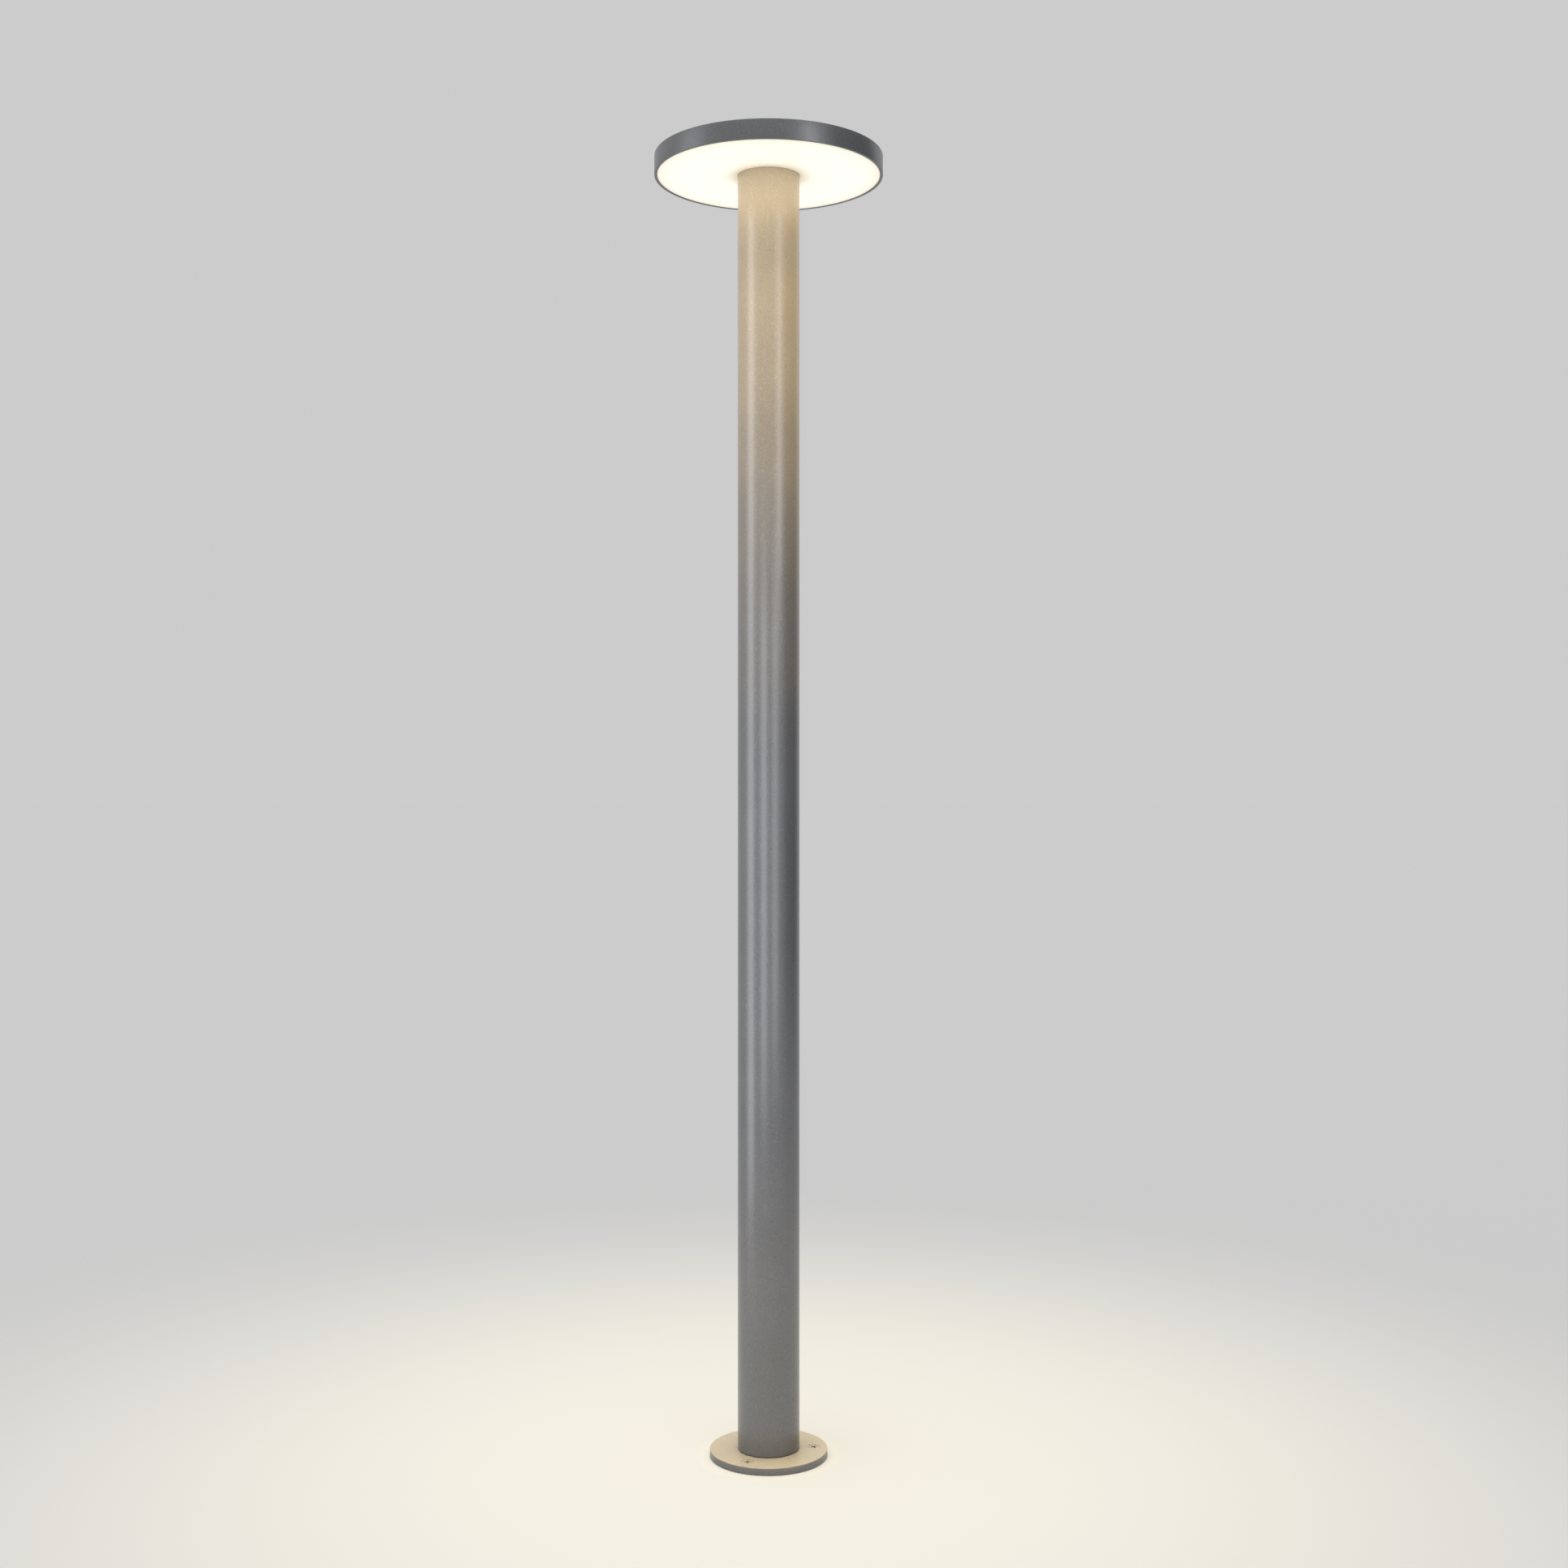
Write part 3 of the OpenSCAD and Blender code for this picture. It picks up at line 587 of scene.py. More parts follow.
@dataclass
class CountersunkScrew:
    """A countersunk cross-head screw, its flat top at z = 0, pointing down.

    Attributes:
        thread, head, length: Thread and head diameter, and overall length.
        rim: Straight edge of the head.
        turn: Turn of the cross from the screw's own x axis, in degrees.
        point: Length of the chamfer at the tip.
        edge: Round-over of the head.
        recess_span, recess_depth: Width and depth of the cross as shares of the head and its cone.
        arm_w, arm_round: Width of the cross's arms and round of their upright corners.
        draft: Size of the cross at its floor as a share of its size at the top.
        skin: The cross counts as recess from this far under the head's face.
        past: How far its hole goes on past its tip.
    """

    thread: float
    head: float
    length: float
    rim: float = 0.3
    turn: float = 45.0
    point: float = 0.6
    edge: float = 0.12
    recess_span: float = 0.64
    recess_depth: float = 0.85
    arm_w: float = 1.25
    arm_round: float = 0.12
    draft: float = 0.8
    skin: float = 0.05
    past: float = 4.0

    def floor(self) -> float:
        """Gives the depth of the cross's floor under the head's face."""
        return self.rim + (self.head - self.thread) / 2 * self.recess_depth

    def body(self) -> Shape:
        """Spins the head, shank and point.

        Returns:
            The screw without its cross recess.
        """
        cone = (self.head - self.thread) / 2
        r = self.thread / 2
        mesh = spun([(0, 0), (self.head / 2, 0), (self.head / 2, -self.rim), (r, -self.rim - cone),
                     (r, self.point - self.length), (r - self.point, -self.length),
                     (0, -self.length)], steps=48, closed=False)
        round_rings(mesh, [(self.head / 2, 0, self.edge)])
        return mesh

    def recess(self) -> list[Shape]:
        """Builds the cross recess: two crossed bars whose sides and ends slope inwards.

        Returns:
            The two bars, which are taken out of the head.
        """
        bars = []
        for angle in (0, 90):
            bar = bmesh.new()
            bmesh.ops.create_cube(bar, size=1.0)
            bmesh.ops.scale(bar, vec=(self.head * self.recess_span, self.arm_w, 2 * self.floor()),
                            verts=bar.verts)
            foot = [v for v in bar.verts if v.co.z < 0]
            bmesh.ops.scale(bar, vec=(self.draft, self.draft, 1), verts=foot)
            upright = [e for e in bar.edges if e.verts[0].co.z * e.verts[1].co.z < 0]
            bmesh.ops.bevel(bar, geom=upright, offset=self.arm_round, affect="EDGES", segments=2,
                            profile=0.5, material=-1)
            bars.append(placed(bar, (0, 0, 0), self.turn + angle))
        return bars

    def cutter(self, gap: float, hole: float) -> Shape:
        """Builds the room that the screw takes in a plate.

        Args:
            gap: Room round and above the head.
            hole: Radius of the plain hole.

        Returns:
            The cutter, its plate's face at z = 0.
        """
        top = self.head / 2 + gap
        drop = self.rim + gap
        end = -self.length - self.past
        return spun([(0, PAST), (top, PAST), (top, -drop), (hole, -drop - top + hole), (hole, end),
                     (0, end)], steps=64, closed=False)


def paint_recess_shade(screw: CountersunkScrew, blank: Piece) -> None:
    """Gives the faces of a screw's cross recess the second material, the blackened steel whose
    darkness is also painted shade in the recess.

    Args:
        screw: The screw.
        blank: Its finished body at the origin, in metres.
    """
    half = screw.head * screw.recess_span / 2
    for face in blank.data.polygons:
        x, y, z = face.center / MM
        sunk = -screw.floor() - screw.skin < z < -screw.skin
        face.material_index = 1 if sunk and math.hypot(x, y) < half else 0


def screw_set(name: str, node: str, screw: CountersunkScrew, places: list[Triple],
              z: float, flip: bool = False) -> Piece:
    """Builds a set of equal screws as one piece.

    Args:
        name: The piece's name.
        node: The CAD node that it stands for.
        screw: The screw.
        places: The x, the y and the turn of each.
        z: Height of their flat tops.
        flip: Whether they point up.

    Returns:
        The piece.
    """
    one = new_piece("screw_blank", screw.body())
    combine(one, screw.recess(), Cut.TAKE_AWAY)
    # The recess faces get the dark steel, which also paints the shade in the recess.
    paint_recess_shade(screw, one)
    carrier = bpy.data.meshes.new("carrier")
    bodies = bmesh.new()
    for x, y, angle in places:
        copy = bmesh.new()
        copy.from_mesh(one.data)
        bmesh.ops.scale(copy, vec=(1 / MM, 1 / MM, 1 / MM), verts=copy.verts)
        placed(copy, (x, y, z), angle, flip).to_mesh(carrier)
        copy.free()
        bodies.from_mesh(carrier)
    for spent in (carrier, one.data):
        bpy.data.meshes.remove(spent)
    piece = show(new_piece(name, bodies), node)
    # Second material: blackened steel, which also paints the shade in the cross recess.
    piece.data.materials.append(FINISHES["blackened_steel"].material())
    return piece


# ---- Sub-assemblies ----


@dataclass
class Foot:
    """The foot: flange, hidden mounting ring, cable grommet and their screws, in millimetres.

    Attributes:
        screw_edge: From the flange's rim to a flange screw.
        edge, small_edge: Round of the flange's top edge and of the edges that don't show.
        lip: Width of the flange's rim round the ring.
        boss_rim: Metal past a post screw's head.
        head_gap: Room round and above a screw head, and between ring and flange.
        hole_gap: Room round the flange's boss and the grommet's lip.
        rubber_gap: Room round the grommet's body.
        flange_screw, foot_screw: Hold the flange on the ring and the post on the flange.
        anchor: Holds the ring on the ground. Only its hole is cut.
        screw_hole_r, ring_thread_r, anchor_hole_r: The flange's screw holes, the ring's threaded
            ones and its anchor holes.
        bush_bore, bush_body, bush_lip: The grommet's bore, and its radius between and at its lips.
        bush_lip_t, bush_sink, bush_round: A lip's thickness and round, and how far the lower one
            is sunk.
        tray_screw_r, tray_thread, tray_hole_low: The gear tray's threaded holes: distance from the
            axis, radius and height of their floor.
    """

    screw_edge: float = 10.6
    edge: float = 0.4
    lip: float = 2.9
    boss_rim: float = 1.3
    head_gap: float = 0.1
    hole_gap: float = 0.25
    rubber_gap: float = 0.05
    flange_screw: CountersunkScrew = field(
        default_factory=lambda: CountersunkScrew(5.0, 9.2, 5.3, turn=29.0))
    foot_screw: CountersunkScrew = field(default_factory=lambda: CountersunkScrew(5.0, 9.2, 16.0))
    anchor: CountersunkScrew = field(default_factory=lambda: CountersunkScrew(6.0, 10.8, 4.0))
    screw_hole_r: float = 2.75
    ring_thread_r: float = 2.55
    anchor_hole_r: float = 3.0
    small_edge: float = 0.2
    bush_bore: float = 4.5
    bush_body: float = 6.5
    bush_lip: float = 8.5
    bush_lip_t: float = 1.5
    bush_sink: float = 0.2
    bush_round: float = 0.5
    tray_screw_r: float = 15.025
    tray_thread: float = 1.55
    tray_hole_low: float = 1.6

    def build(self) -> None:
        """Builds and dresses every piece of the foot."""
        self.flange()
        self.ring()
        self.grommet()
        self.screws()

    def flange(self) -> None:
        """Spins the flange with its recess for the ring and cuts its holes."""
        radius, _, top = reach("base_flange")
        _, _, ring_top = reach("mounting_ring")
        boss = PORT_CIRCLE + self.foot_screw.head / 2 + self.boss_rim
        web = ring_top + self.head_gap
        mesh = spun([(0, 0), (boss, 0), (boss, web), (radius - self.lip, web), (radius - self.lip, 0),
                     (radius, 0), (radius, top), (0, top)], steps=192, closed=False)
        round_rings(mesh, [(radius, top, self.edge)]
                    + [(r, 0, self.small_edge) for r in (radius, radius - self.lip, boss)])
        piece = new_piece("base_flange_turned", mesh)
        cuts = [placed(self.flange_screw.cutter(self.head_gap, self.screw_hole_r), (x, y, top))
                for x, y, _ in three_places(radius - self.screw_edge, FIRST_SCREW)]
        cuts += [placed(self.foot_screw.cutter(self.head_gap, self.screw_hole_r), (x, y, 0), flip=True)
                 for x, y, _ in three_places(PORT_CIRCLE, FIRST_SCREW + HALF_STEP)]
        sink = self.bush_lip_t + self.bush_sink
        wide, narrow = self.bush_lip + self.hole_gap, self.bush_body + self.rubber_gap
        cuts.append(spun([(0, -PAST), (wide, -PAST), (wide, sink), (narrow, sink), (narrow, top + PAST),
                          (0, top + PAST)], closed=False))
        for x, y, _ in three_places(self.tray_screw_r, FIRST_SCREW):
            cuts.append(placed(rod(self.tray_thread, self.tray_hole_low, top + PAST), (x, y, 0)))
        combine(piece, cuts, Cut.TAKE_AWAY)
        show(piece, "base_flange")

    def ring(self) -> None:
        """Spins the mounting ring and cuts its anchor and screw holes."""
        radius, low, high = reach("mounting_ring")
        inner = PORT_CIRCLE + self.foot_screw.head / 2 + self.boss_rim + self.hole_gap
        mesh = spun([(inner, low), (radius, low), (radius, high), (inner, high)], steps=160)
        round_rings(mesh, [(r, z, self.small_edge) for r in (inner, radius) for z in (low, high)],
                    segments=2)
        piece = new_piece("mounting_ring_pressed", mesh)
        flange_r, _, top = reach("base_flange")
        screw_r = flange_r - self.screw_edge
        cuts = [placed(self.anchor.cutter(self.head_gap, self.anchor_hole_r), (x, y, high))
                for x, y, _ in three_places((inner + radius) / 2, FIRST_SCREW + HALF_STEP)]
        cuts += [placed(self.flange_screw.cutter(self.head_gap, self.ring_thread_r), (x, y, top))
                 for x, y, _ in three_places(screw_r, FIRST_SCREW)]
        combine(piece, cuts, Cut.TAKE_AWAY)
        show(piece, "mounting_ring")

    def grommet(self) -> None:
        """Spins the cable grommet with its two soft lips."""
        _, low, high = reach("cable_grommet")
        t = self.bush_lip_t
        mesh = spun([(self.bush_bore, low), (self.bush_lip, low), (self.bush_lip, low + t),
                     (self.bush_body, low + t), (self.bush_body, high - t), (self.bush_lip, high - t),
                     (self.bush_lip, high), (self.bush_bore, high)])
        round_rings(mesh, [(r, z, self.bush_round) for r in (self.bush_lip, self.bush_bore)
                           for z in (low, high)], segments=4)
        show(new_piece("cable_grommet_moulded", mesh), "cable_grommet")

    def screws(self) -> None:
        """Builds the screws seen in the flange's top and the post's screws under it."""
        radius, _, top = reach("base_flange")
        screw_set("flange_screw_set", "flange_screws", self.flange_screw,
                  three_places(radius - self.screw_edge, FIRST_SCREW), top - self.head_gap)
        screw_set("post_foot_screw_set", "post_foot_screws", self.foot_screw,
                  three_places(PORT_CIRCLE, FIRST_SCREW + HALF_STEP), self.head_gap, flip=True)


@dataclass
class Post:
    """The extruded tube with three screw ports inside, and the seal under it, in millimetres.

    Attributes:
        wall: The tube's wall.
        port_r, bore_r: Radius of a screw port and of its bore.
        seal_in: How far the seal stays inside the tube's outer face.
        seal_out: How far its band reaches in past the tube's wall.
        edge: Round of the tube's ends.
        thin: A section thinner than this keeps its sharp edges.
    """

    wall: float = 2.0
    port_r: float = 3.8
    bore_r: float = 2.55
    seal_in: float = 0.4
    seal_out: float = 1.4
    edge: float = 0.25
    thin: float = 1.0

    def section(self, name: str, low: float, high: float, shrink: float, grow: float) -> Piece:
        """Builds a length of the tube's section.

        Args:
            name: The piece's name.
            low: Its lower end.
            high: Its upper end.
            shrink: What it is smaller by outside.
            grow: What it is thicker by inside.

        Returns:
            The piece.
        """
        radius = reach("post_tube")[0]
        outer, inner = radius - shrink, radius - self.wall - grow
        mesh = spun([(inner, low), (outer, low), (outer, high), (inner, high)], steps=192)
        if high - low > self.thin:
            round_rings(mesh, [(outer, low, self.edge), (outer, high, self.edge)])
        piece = new_piece(name, mesh)
        places = three_places(PORT_CIRCLE, FIRST_SCREW + HALF_STEP)
        ports = [placed(rod(self.port_r, low, high), (x, y, 0)) for x, y, _ in places]
        bores = [placed(rod(self.bore_r, low - PAST, high + PAST), (x, y, 0)) for x, y, _ in places]
        combine(piece, ports, Cut.ADD)
        combine(piece, bores, Cut.TAKE_AWAY)
        return piece

    def build(self) -> None:
        """Builds and dresses the tube and its seal."""
        _, low, high = reach("post_tube")
        show(self.section("post_tube_extruded", low, high, 0, 0), "post_tube")
        _, low, high = reach("post_seal")
        show(self.section("post_seal_cut", low, high, self.seal_in, self.seal_out), "post_seal")


@dataclass
class Head:
    """The disc head: turned housing and snap-in opal diffuser, in millimetres and degrees.

    Attributes:
        wall, top: The housing's side wall and top wall.
        edge, rim_edge: Round of its upper edge and of its lower rim.
        overlap: How far a boss or hook reaches into what carries it.
        ledge_w, ledge_low, ledge_high: The ledge that the hooks snap over: width and heights.
        boss_r, boss_c, boss_low: A boss for the post's screws: radius, distance from the axis and
            height of its lower face.
        screw_r, screw_top: Its bore: radius and height of its end.
        board_screw_r, board_screw_top: The same of a bore for the LED board's screws.
        board_screws: Distance and first angle of each three of them.
        lead_angle: Angle of the LED cable, which passes between two hooks.
        collar_gap: Room between post and plate.
        collar_in, collar_w: From the post to the collar, and the collar's wall.
        hook_count: Number of hooks.
        hook_w, hook_t, hook_r: A hook: width, thickness and distance of its outer face from the axis.
        barb_out, barb_h: Its barb: how far it stands out, and its height.
        barb_lean: How far the barb's top leans back, as a share of barb_out.
        plate_t, opal_edge: The opal plate: thickness and round of its edges.
    """

    wall: float = 2.1
    top: float = 3.0
    edge: float = 0.5
    rim_edge: float = 0.15
    overlap: float = 0.3
    ledge_w: float = 2.4
    ledge_low: float = 989.3
    ledge_high: float = 991.3
    boss_r: float = 5.0
    boss_c: float = 30.0
    boss_low: float = 994.0
    screw_r: float = 2.05
    screw_top: float = 997.5
    board_screw_r: float = 1.55
    board_screw_top: float = 999.2
    board_screws: tuple[Point, ...] = ((45.0, 66.0), (75.5, 126.0))
    lead_angle: float = 36.0
    collar_gap: float = 0.4
    collar_in: float = 2.7
    collar_w: float = 1.6
    hook_count: int = 6
    hook_w: float = 8.0
    hook_t: float = 1.7
    hook_r: float = 83.1
    barb_out: float = 1.5
    barb_h: float = 1.3
    barb_lean: float = 0.6
    plate_t: float = 3.0
    opal_edge: float = 0.2

    def build(self) -> None:
        """Builds and dresses the housing and the diffuser."""
        self.housing()
        self.diffuser()

    def housing(self) -> None:
        """Spins the housing and adds its bosses and screw holes."""
        radius, low, high = reach("head_housing")
        inner, ceiling = radius - self.wall, high - self.top
        mesh = spun([(0, high), (radius, high), (radius, low), (inner, low), (inner, self.ledge_low),
                     (inner - self.ledge_w, self.ledge_low), (inner - self.ledge_w, self.ledge_high),
                     (inner, self.ledge_high), (inner, ceiling), (0, ceiling)], steps=256, closed=False)
        round_rings(mesh, [(radius, high, self.edge), (radius, low, self.rim_edge),
                           (inner, low, self.rim_edge)], segments=4)
        piece = new_piece("head_housing_turned", mesh)
        places = three_places(self.boss_c, FIRST_SCREW)
        bosses = [placed(rod(self.boss_r, self.boss_low, ceiling + self.overlap), (x, y, 0))
                  for x, y, _ in places]
        holes = [placed(rod(self.screw_r, self.boss_low - PAST, self.screw_top), (x, y, 0))
                 for x, y, _ in places]
        for distance, angle in self.board_screws:
            holes += [placed(rod(self.board_screw_r, ceiling - PAST, self.board_screw_top), (x, y, 0))
                      for x, y, _ in three_places(distance, angle)]
        combine(piece, bosses, Cut.ADD)
        combine(piece, holes, Cut.TAKE_AWAY)
        show(piece, "head_housing")

    def hook(self, low: float, high: float) -> Shape:
        """Builds one snap hook on the x axis, its barb outwards.

        Args:
            low: Its lower end.
            high: Its upper end.

        Returns:
            The hook.
        """
        mesh = bmesh.new()
        bmesh.ops.create_cube(mesh, size=1.0)
        bmesh.ops.scale(mesh, vec=(self.hook_t, self.hook_w, high - low), verts=mesh.verts)
        bmesh.ops.translate(mesh, vec=(self.hook_r - self.hook_t / 2, 0, (low + high) / 2),
                            verts=mesh.verts)
        barb_low = high - self.barb_h
        bmesh.ops.bisect_plane(mesh, geom=mesh.verts[:] + mesh.edges[:] + mesh.faces[:],
                               plane_co=(0, 0, barb_low), plane_no=(0, 0, 1))
        outer = [face for face, middle in ((f, f.calc_center_median()) for f in mesh.faces)
                 if middle.z > barb_low and middle.x > self.hook_r - NEAR]
        barb = bmesh.ops.extrude_face_region(mesh, geom=outer)["geom"]
        bmesh.ops.delete(mesh, geom=outer, context="FACES_ONLY")
        moved = [g for g in barb if isinstance(g, bmesh.types.BMVert)]
        bmesh.ops.translate(mesh, vec=(self.barb_out, 0, 0), verts=moved)
        lean = [v for v in moved if v.co.z > high - NEAR]
        bmesh.ops.translate(mesh, vec=(-self.barb_out * self.barb_lean, 0, 0), verts=lean)
        bmesh.ops.recalc_face_normals(mesh, faces=mesh.faces)
        return mesh

    def diffuser(self) -> None:
        """Spins the opal plate with its collar and adds the snap hooks."""
        radius, low, high = reach("diffuser")
        post_r = reach("post_tube")[0]
        inner, plate = post_r + self.collar_gap, low + self.plate_t
        collar_low, collar_high = post_r + self.collar_in, post_r + self.collar_in + self.collar_w
        collar_top = reach("post_collar_seal")[2]
        mesh = spun([(inner, low), (radius, low), (radius, plate), (collar_high, plate),
                     (collar_high, collar_top), (collar_low, collar_top), (collar_low, plate),
                     (inner, plate)], steps=256)
        round_rings(mesh, [(radius, low, self.opal_edge), (inner, low, self.opal_edge),
                           (radius, plate, self.opal_edge)])
        piece = new_piece("diffuser_opal", mesh)
        hooks = [placed(self.hook(plate - self.overlap, high), (0, 0, 0),
                        self.lead_angle + 360 * (k + 0.5) / self.hook_count)
                 for k in range(self.hook_count)]
        combine(piece, hooks, Cut.ADD)
        show(piece, "diffuser")


def dress_gear(done: set[str]) -> None:
    """Dresses each CAD node of the gear inside, which keeps the frame's own mesh.

    Args:
        done: The nodes that pieces stand for.
    """
    for node, piece in frame["nodes"].items():
        if node not in done:
            dress(piece, node)


# ---- Studio ----


@dataclass(frozen=True)
class Softbox:
    """An upright softbox beside the camera.

    Attributes:
        name: What the studio calls it.
        azimuth: Its angle to the right of the camera, in degrees.
        width: Its width in metres.
        low, high: Heights of its lower and upper edge in metres.
        brightness: Its power in watts per square metre.
    """

    name: str
    azimuth: float
    width: float
    low: float
    high: float
    brightness: float


@dataclass(frozen=True)
class Wash:
    """A ring of small lights that carries the lamp's glow to one stretch of the post.

    Attributes:
        drop, height: The stretch: its middle's depth under the lamp's face, and its height, in
            metres.
        power: Power of each light in watts.
    """

    drop: float
    height: float
    power: float


@dataclass
class Studio:
    """A pale floor without an edge, soft studio light and the camera.

    Attributes:
        camera_at: Where the camera stands, in metres. It looks level along +Y.
        lens_mm, sensor_mm: Its lens and the width of its sensor.
        grey: Grey of the room and of the floor far away.
        floor_shade: Colour of the floor's paint.
        floor_half_mm: From the floor's middle to its side.
        floor_drop_mm: How far the floor lies under the foot.
        sky_from, sky_towards: Where the soft top light is, and the point it faces, in metres.
        sky_power, sky_angle: Its power in watts per square metre, and the angle that it fills in
            radians.
        boxes: The post's softboxes, whose reflections are the upright stripes on it.
        head_boxes: The head's own softboxes.
        box_distance: Distance of the softboxes from the post.
        flag: Place of the dark cloth that keeps the post's right side dark, and half its size.
        washes: The rings of lights down the post, whose light thins out below the lamp. The
            last one is the glow of the floor on the post's foot.
        ring_radius, ring_light, ring_count: Radius of those rings and width of their lights, in
            metres, and lights in a ring.
        face_gap: How far under its face the lamp's other lights hang, in metres.
        warm, foot_warm, pool_warm: Linear colours of the lamp's light on post, foot and floor.
        pool_cone: Opening of the lamp's beam on the floor, in degrees.
        pool_power, foot_power: Power of that beam and of the lamp's light on the foot, in watts.
    """

    camera_at: Triple = (0.01184, -1.4641, 0.5172)
    lens_mm: float = 43.59
    sensor_mm: float = 36.0
    grey: float = 0.602
    floor_shade: str = "#cecece"
    floor_half_mm: float = 60000.0
    floor_drop_mm: float = 0.05
    sky_from: Triple = (-0.4, -0.6, 3.0)
    sky_towards: Triple = (0.0, 0.0, 0.5)
    sky_power: float = 1.2
    sky_angle: float = 1.2
    boxes: tuple[Softbox, ...] = (
        Softbox("left_box", -69, 0.28, 0.0, 1.3, 7.2),
        Softbox("front_box", -17, 0.21, 0.12, 0.8, 7.0),
        Softbox("right_low_box", 24, 0.21, 0.18, 0.8, 5.4),
        Softbox("right_top_box", 40, 0.17, 0.76, 1.3, 7.0))
    head_boxes: tuple[Softbox, ...] = (
        Softbox("head_left_box", -76, 0.28, 0.0, 1.3, 3.1),
        Softbox("head_right_box", 38, 0.13, 0.0, 1.3, 7.6))
    box_distance: float = 0.6
    flag: tuple[float, float, float, float] = (1.7, 0.15, 0.9, 1.1)
    washes: tuple[Wash, ...] = (
        Wash(0.014, 0.032, 0.031), Wash(0.05, 0.04, 0.0115), Wash(0.095, 0.05, 0.0232),
        Wash(0.15, 0.06, 0.023), Wash(0.21, 0.06, 0.0145), Wash(0.275, 0.07, 0.008),
        Wash(0.355, 0.09, 0.0045), Wash(0.9, 0.17, 0.0025))
    ring_radius: float = 0.055
    ring_light: float = 0.03
    ring_count: int = 12
    face_gap: float = 0.002
    warm: Triple = (1.0, 0.69, 0.30)
    foot_warm: Triple = (1.0, 0.756, 0.39)
    pool_warm: Triple = (1.0, 0.885, 0.59)
    pool_cone: float = 91.0
    pool_power: float = 21.5
    foot_power: float = 111.0

    def build(self) -> None:
        """Sets up the room, the lights and the camera."""
        scene = bpy.context.scene
        scene.view_settings.view_transform = "Standard"
        pieces = list(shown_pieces())
        self.room(scene)
        floor = self.floor()
        self.studio_light(pieces)
        self.dark_flag()
        self.lamp_light(floor)
        data = bpy.data.cameras.new("camera")
        data.lens = self.lens_mm
        data.sensor_width = self.sensor_mm
        camera = bpy.data.objects.new("camera", data)
        camera.location = self.camera_at
        camera.rotation_euler = Euler((math.pi / 2, 0, 0))
        scene.collection.objects.link(camera)
        scene.camera = camera

    def room(self, scene: bpy.types.Scene) -> None:
        """Fills the room with an even pale grey light.

        Args:
            scene: The scene that the room is for.
        """
        world = bpy.data.worlds.new("room")
        world.use_nodes = True
        world.node_tree.nodes.clear()
        light = add_node(world.node_tree, "ShaderNodeBackground", {
            "Color": (self.grey, self.grey, self.grey, 1.0), "Strength": 1.0})
        add_node(world.node_tree, "ShaderNodeOutputWorld", {"Surface": light.outputs[0]})
        scene.world = world

    def floor(self) -> Piece:
        """Lays a wide matt floor just under the foot.

        Returns:
            The floor.
        """
        mesh = bmesh.new()
        bmesh.ops.create_grid(mesh, x_segments=8, y_segments=8, size=self.floor_half_mm)
        bmesh.ops.translate(mesh, vec=(0, 0, -self.floor_drop_mm), verts=mesh.verts)
        floor = new_piece("floor", mesh)
        paint = Finish("floor_paint", self.floor_shade, self.floor_shade, 900.0, 2.0, 0.002, (0.8, 0.9))
        floor.data.materials.append(paint.material())
        floor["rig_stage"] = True
        return floor

    def add_light(self, name: str, kind: str, at: Vector, towards: Vector,
                  only_on: list[Piece] | None = None, **settings: object) -> Piece:
        """Adds one light that no camera ray sees.

        Args:
            name: The light's name.
            kind: SUN, AREA or SPOT.
            at: Where it is.
            towards: The point it faces.
            only_on: The pieces that it lights, or None for everything.
            settings: Its other settings by name.

        Returns:
            The light.
        """
        data = bpy.data.lights.new(name, kind)
        for key, value in settings.items():
            setattr(data, key, value)
        light = bpy.data.objects.new(name, data)
        light.location = at
        light.rotation_euler = (towards - at).to_track_quat("-Z", "Y").to_euler()
        light.visible_camera = False
        bpy.context.scene.collection.objects.link(light)
        if only_on:
            light.light_linking.receiver_collection = self.group(f"lit_by_{name}", only_on)
        return light

    def group(self, name: str, pieces: list[Piece]) -> bpy.types.Collection:
        """Puts pieces in a collection that a light names.

        Args:
            name: The collection's name.
            pieces: The pieces.

        Returns:
            The collection.
        """
        made = bpy.data.collections.new(name)
        for piece in pieces:
            made.objects.link(piece)
        return made

    def studio_light(self, pieces: list[Piece]) -> None:
        """Hangs the soft top light and the upright softboxes.

        Args:
            pieces: The post light's pieces, which the boxes light.
        """
        self.add_light("top_light", "SUN", Vector(self.sky_from), Vector(self.sky_towards),
                       energy=self.sky_power, angle=self.sky_angle)
        head = [bpy.data.objects["head_housing_turned"]]
        own_light = ("head_housing_turned", "diffuser_opal", "base_flange_turned", "flange_screw_set")
        lit = [piece for piece in pieces if piece.name not in own_light]
        for boxes, lit_pieces in ((self.boxes, lit), (self.head_boxes, head)):
            for box in boxes:
                turn = math.radians(box.azimuth)
                height = box.high - box.low
                middle = Vector((0, 0, box.low + height / 2))
                out = Vector((math.sin(turn), -math.cos(turn), 0)) * self.box_distance
                self.add_light(box.name, "AREA", middle + out, middle, lit_pieces,
                               energy=box.brightness * box.width * height, shape="RECTANGLE",
                               size=box.width, size_y=height)

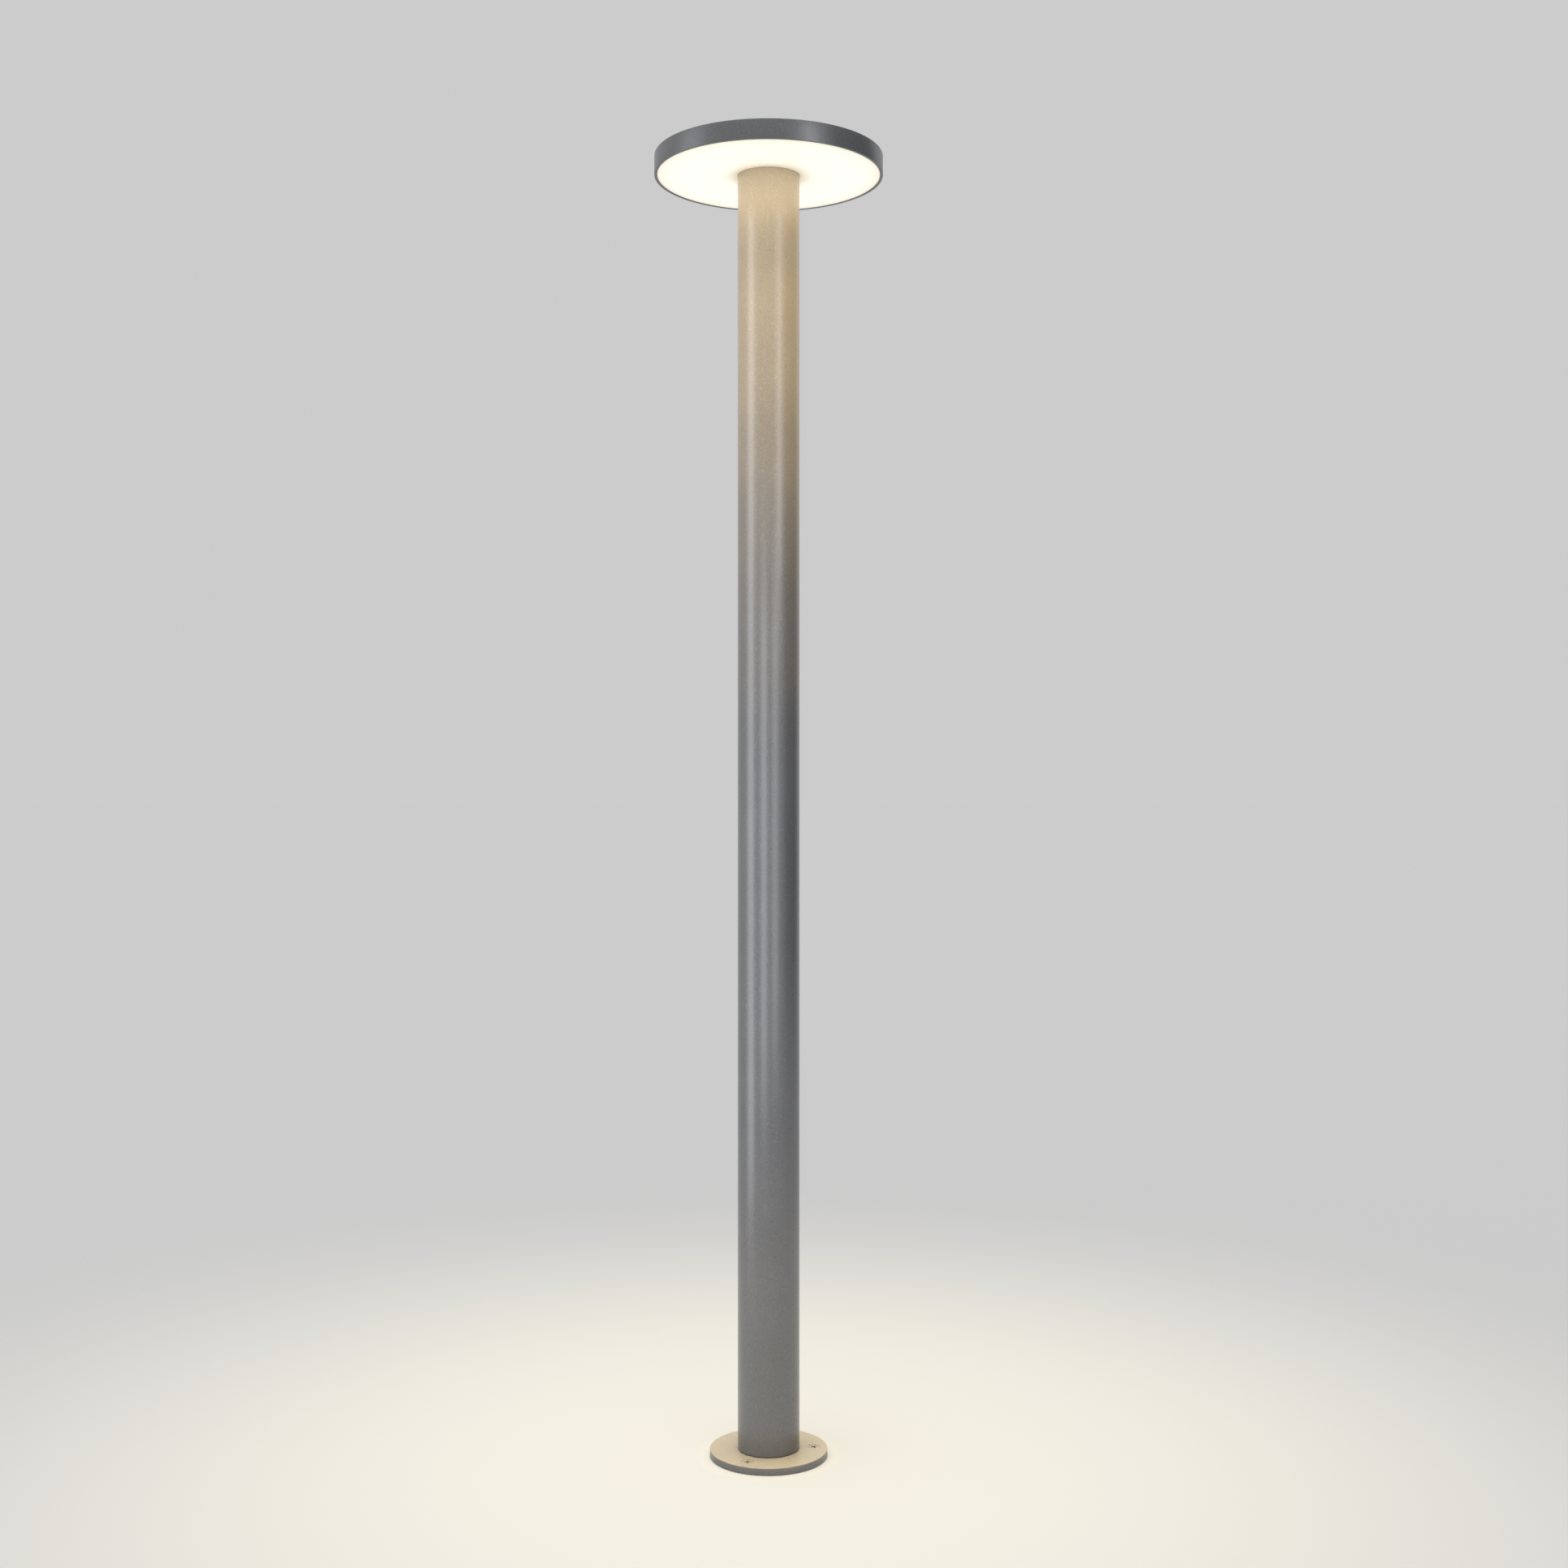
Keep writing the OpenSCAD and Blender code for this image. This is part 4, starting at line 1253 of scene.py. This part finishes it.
    def dark_flag(self) -> None:
        """Stands a dark cloth at the right that only reflections see."""
        x, y, z, half = self.flag
        mesh = bmesh.new()
        bmesh.ops.create_grid(mesh, x_segments=2, y_segments=2, size=half / MM)
        placing = Matrix.Translation((x / MM, y / MM, z / MM)) @ Matrix.Rotation(math.pi / 2, 4, "Y")
        bmesh.ops.transform(mesh, matrix=placing, verts=mesh.verts)
        flag = new_piece("dark_flag", mesh)
        cloth = Finish("flag_cloth", "#141414", "#161616", 200.0, 5.0, 0.01, (0.9, 1.0))
        flag.data.materials.append(cloth.material())
        flag.visible_camera = flag.visible_diffuse = flag.visible_shadow = False
        flag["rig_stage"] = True

    def lamp_light(self, floor: Piece) -> None:
        """Adds the lamp's own light on the floor, on the foot and down the post.

        Args:
            floor: The floor.
        """
        radius, low, _ = (size * MM for size in reach("diffuser"))
        under = Vector((0, 0, low - self.face_gap))
        ground = Vector((0, 0, 0))
        foot = [bpy.data.objects[name] for name in ("base_flange_turned", "flange_screw_set")]
        post = [bpy.data.objects["post_tube_extruded"]]
        pool = self.add_light("lamp_pool", "SPOT", under, ground, [floor], energy=self.pool_power,
                              color=self.pool_warm, spot_size=math.radians(self.pool_cone),
                              spot_blend=1.0, shadow_soft_size=radius)
        pool.light_linking.blocker_collection = self.group("shade_pool", foot)
        glow = self.add_light("lamp_foot", "AREA", under, ground, foot, energy=self.foot_power,
                              color=self.foot_warm, shape="DISK", size=2 * radius)
        glow.visible_glossy = False
        for i, wash in enumerate(self.washes):
            middle = Vector((0, 0, low - wash.drop))
            for k in range(self.ring_count):
                turn = math.tau * k / self.ring_count
                out = Vector((math.cos(turn), math.sin(turn), 0)) * self.ring_radius
                lamp = self.add_light(f"lamp_wash_{i}_{k}", "AREA", middle + out, middle, post,
                                      energy=wash.power, color=self.warm, shape="RECTANGLE",
                                      size=self.ring_light, size_y=wash.height)
                lamp.visible_glossy = False


def main() -> None:
    """Builds the post light, dresses it and lights it."""
    logging.basicConfig(level=logging.INFO, format="%(name)s: %(message)s")
    Foot().build()
    Post().build()
    Head().build()
    dress_gear({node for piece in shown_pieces() for node in piece.get("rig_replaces", [])})
    Studio().build()


if __name__ == "__main__":
    main()
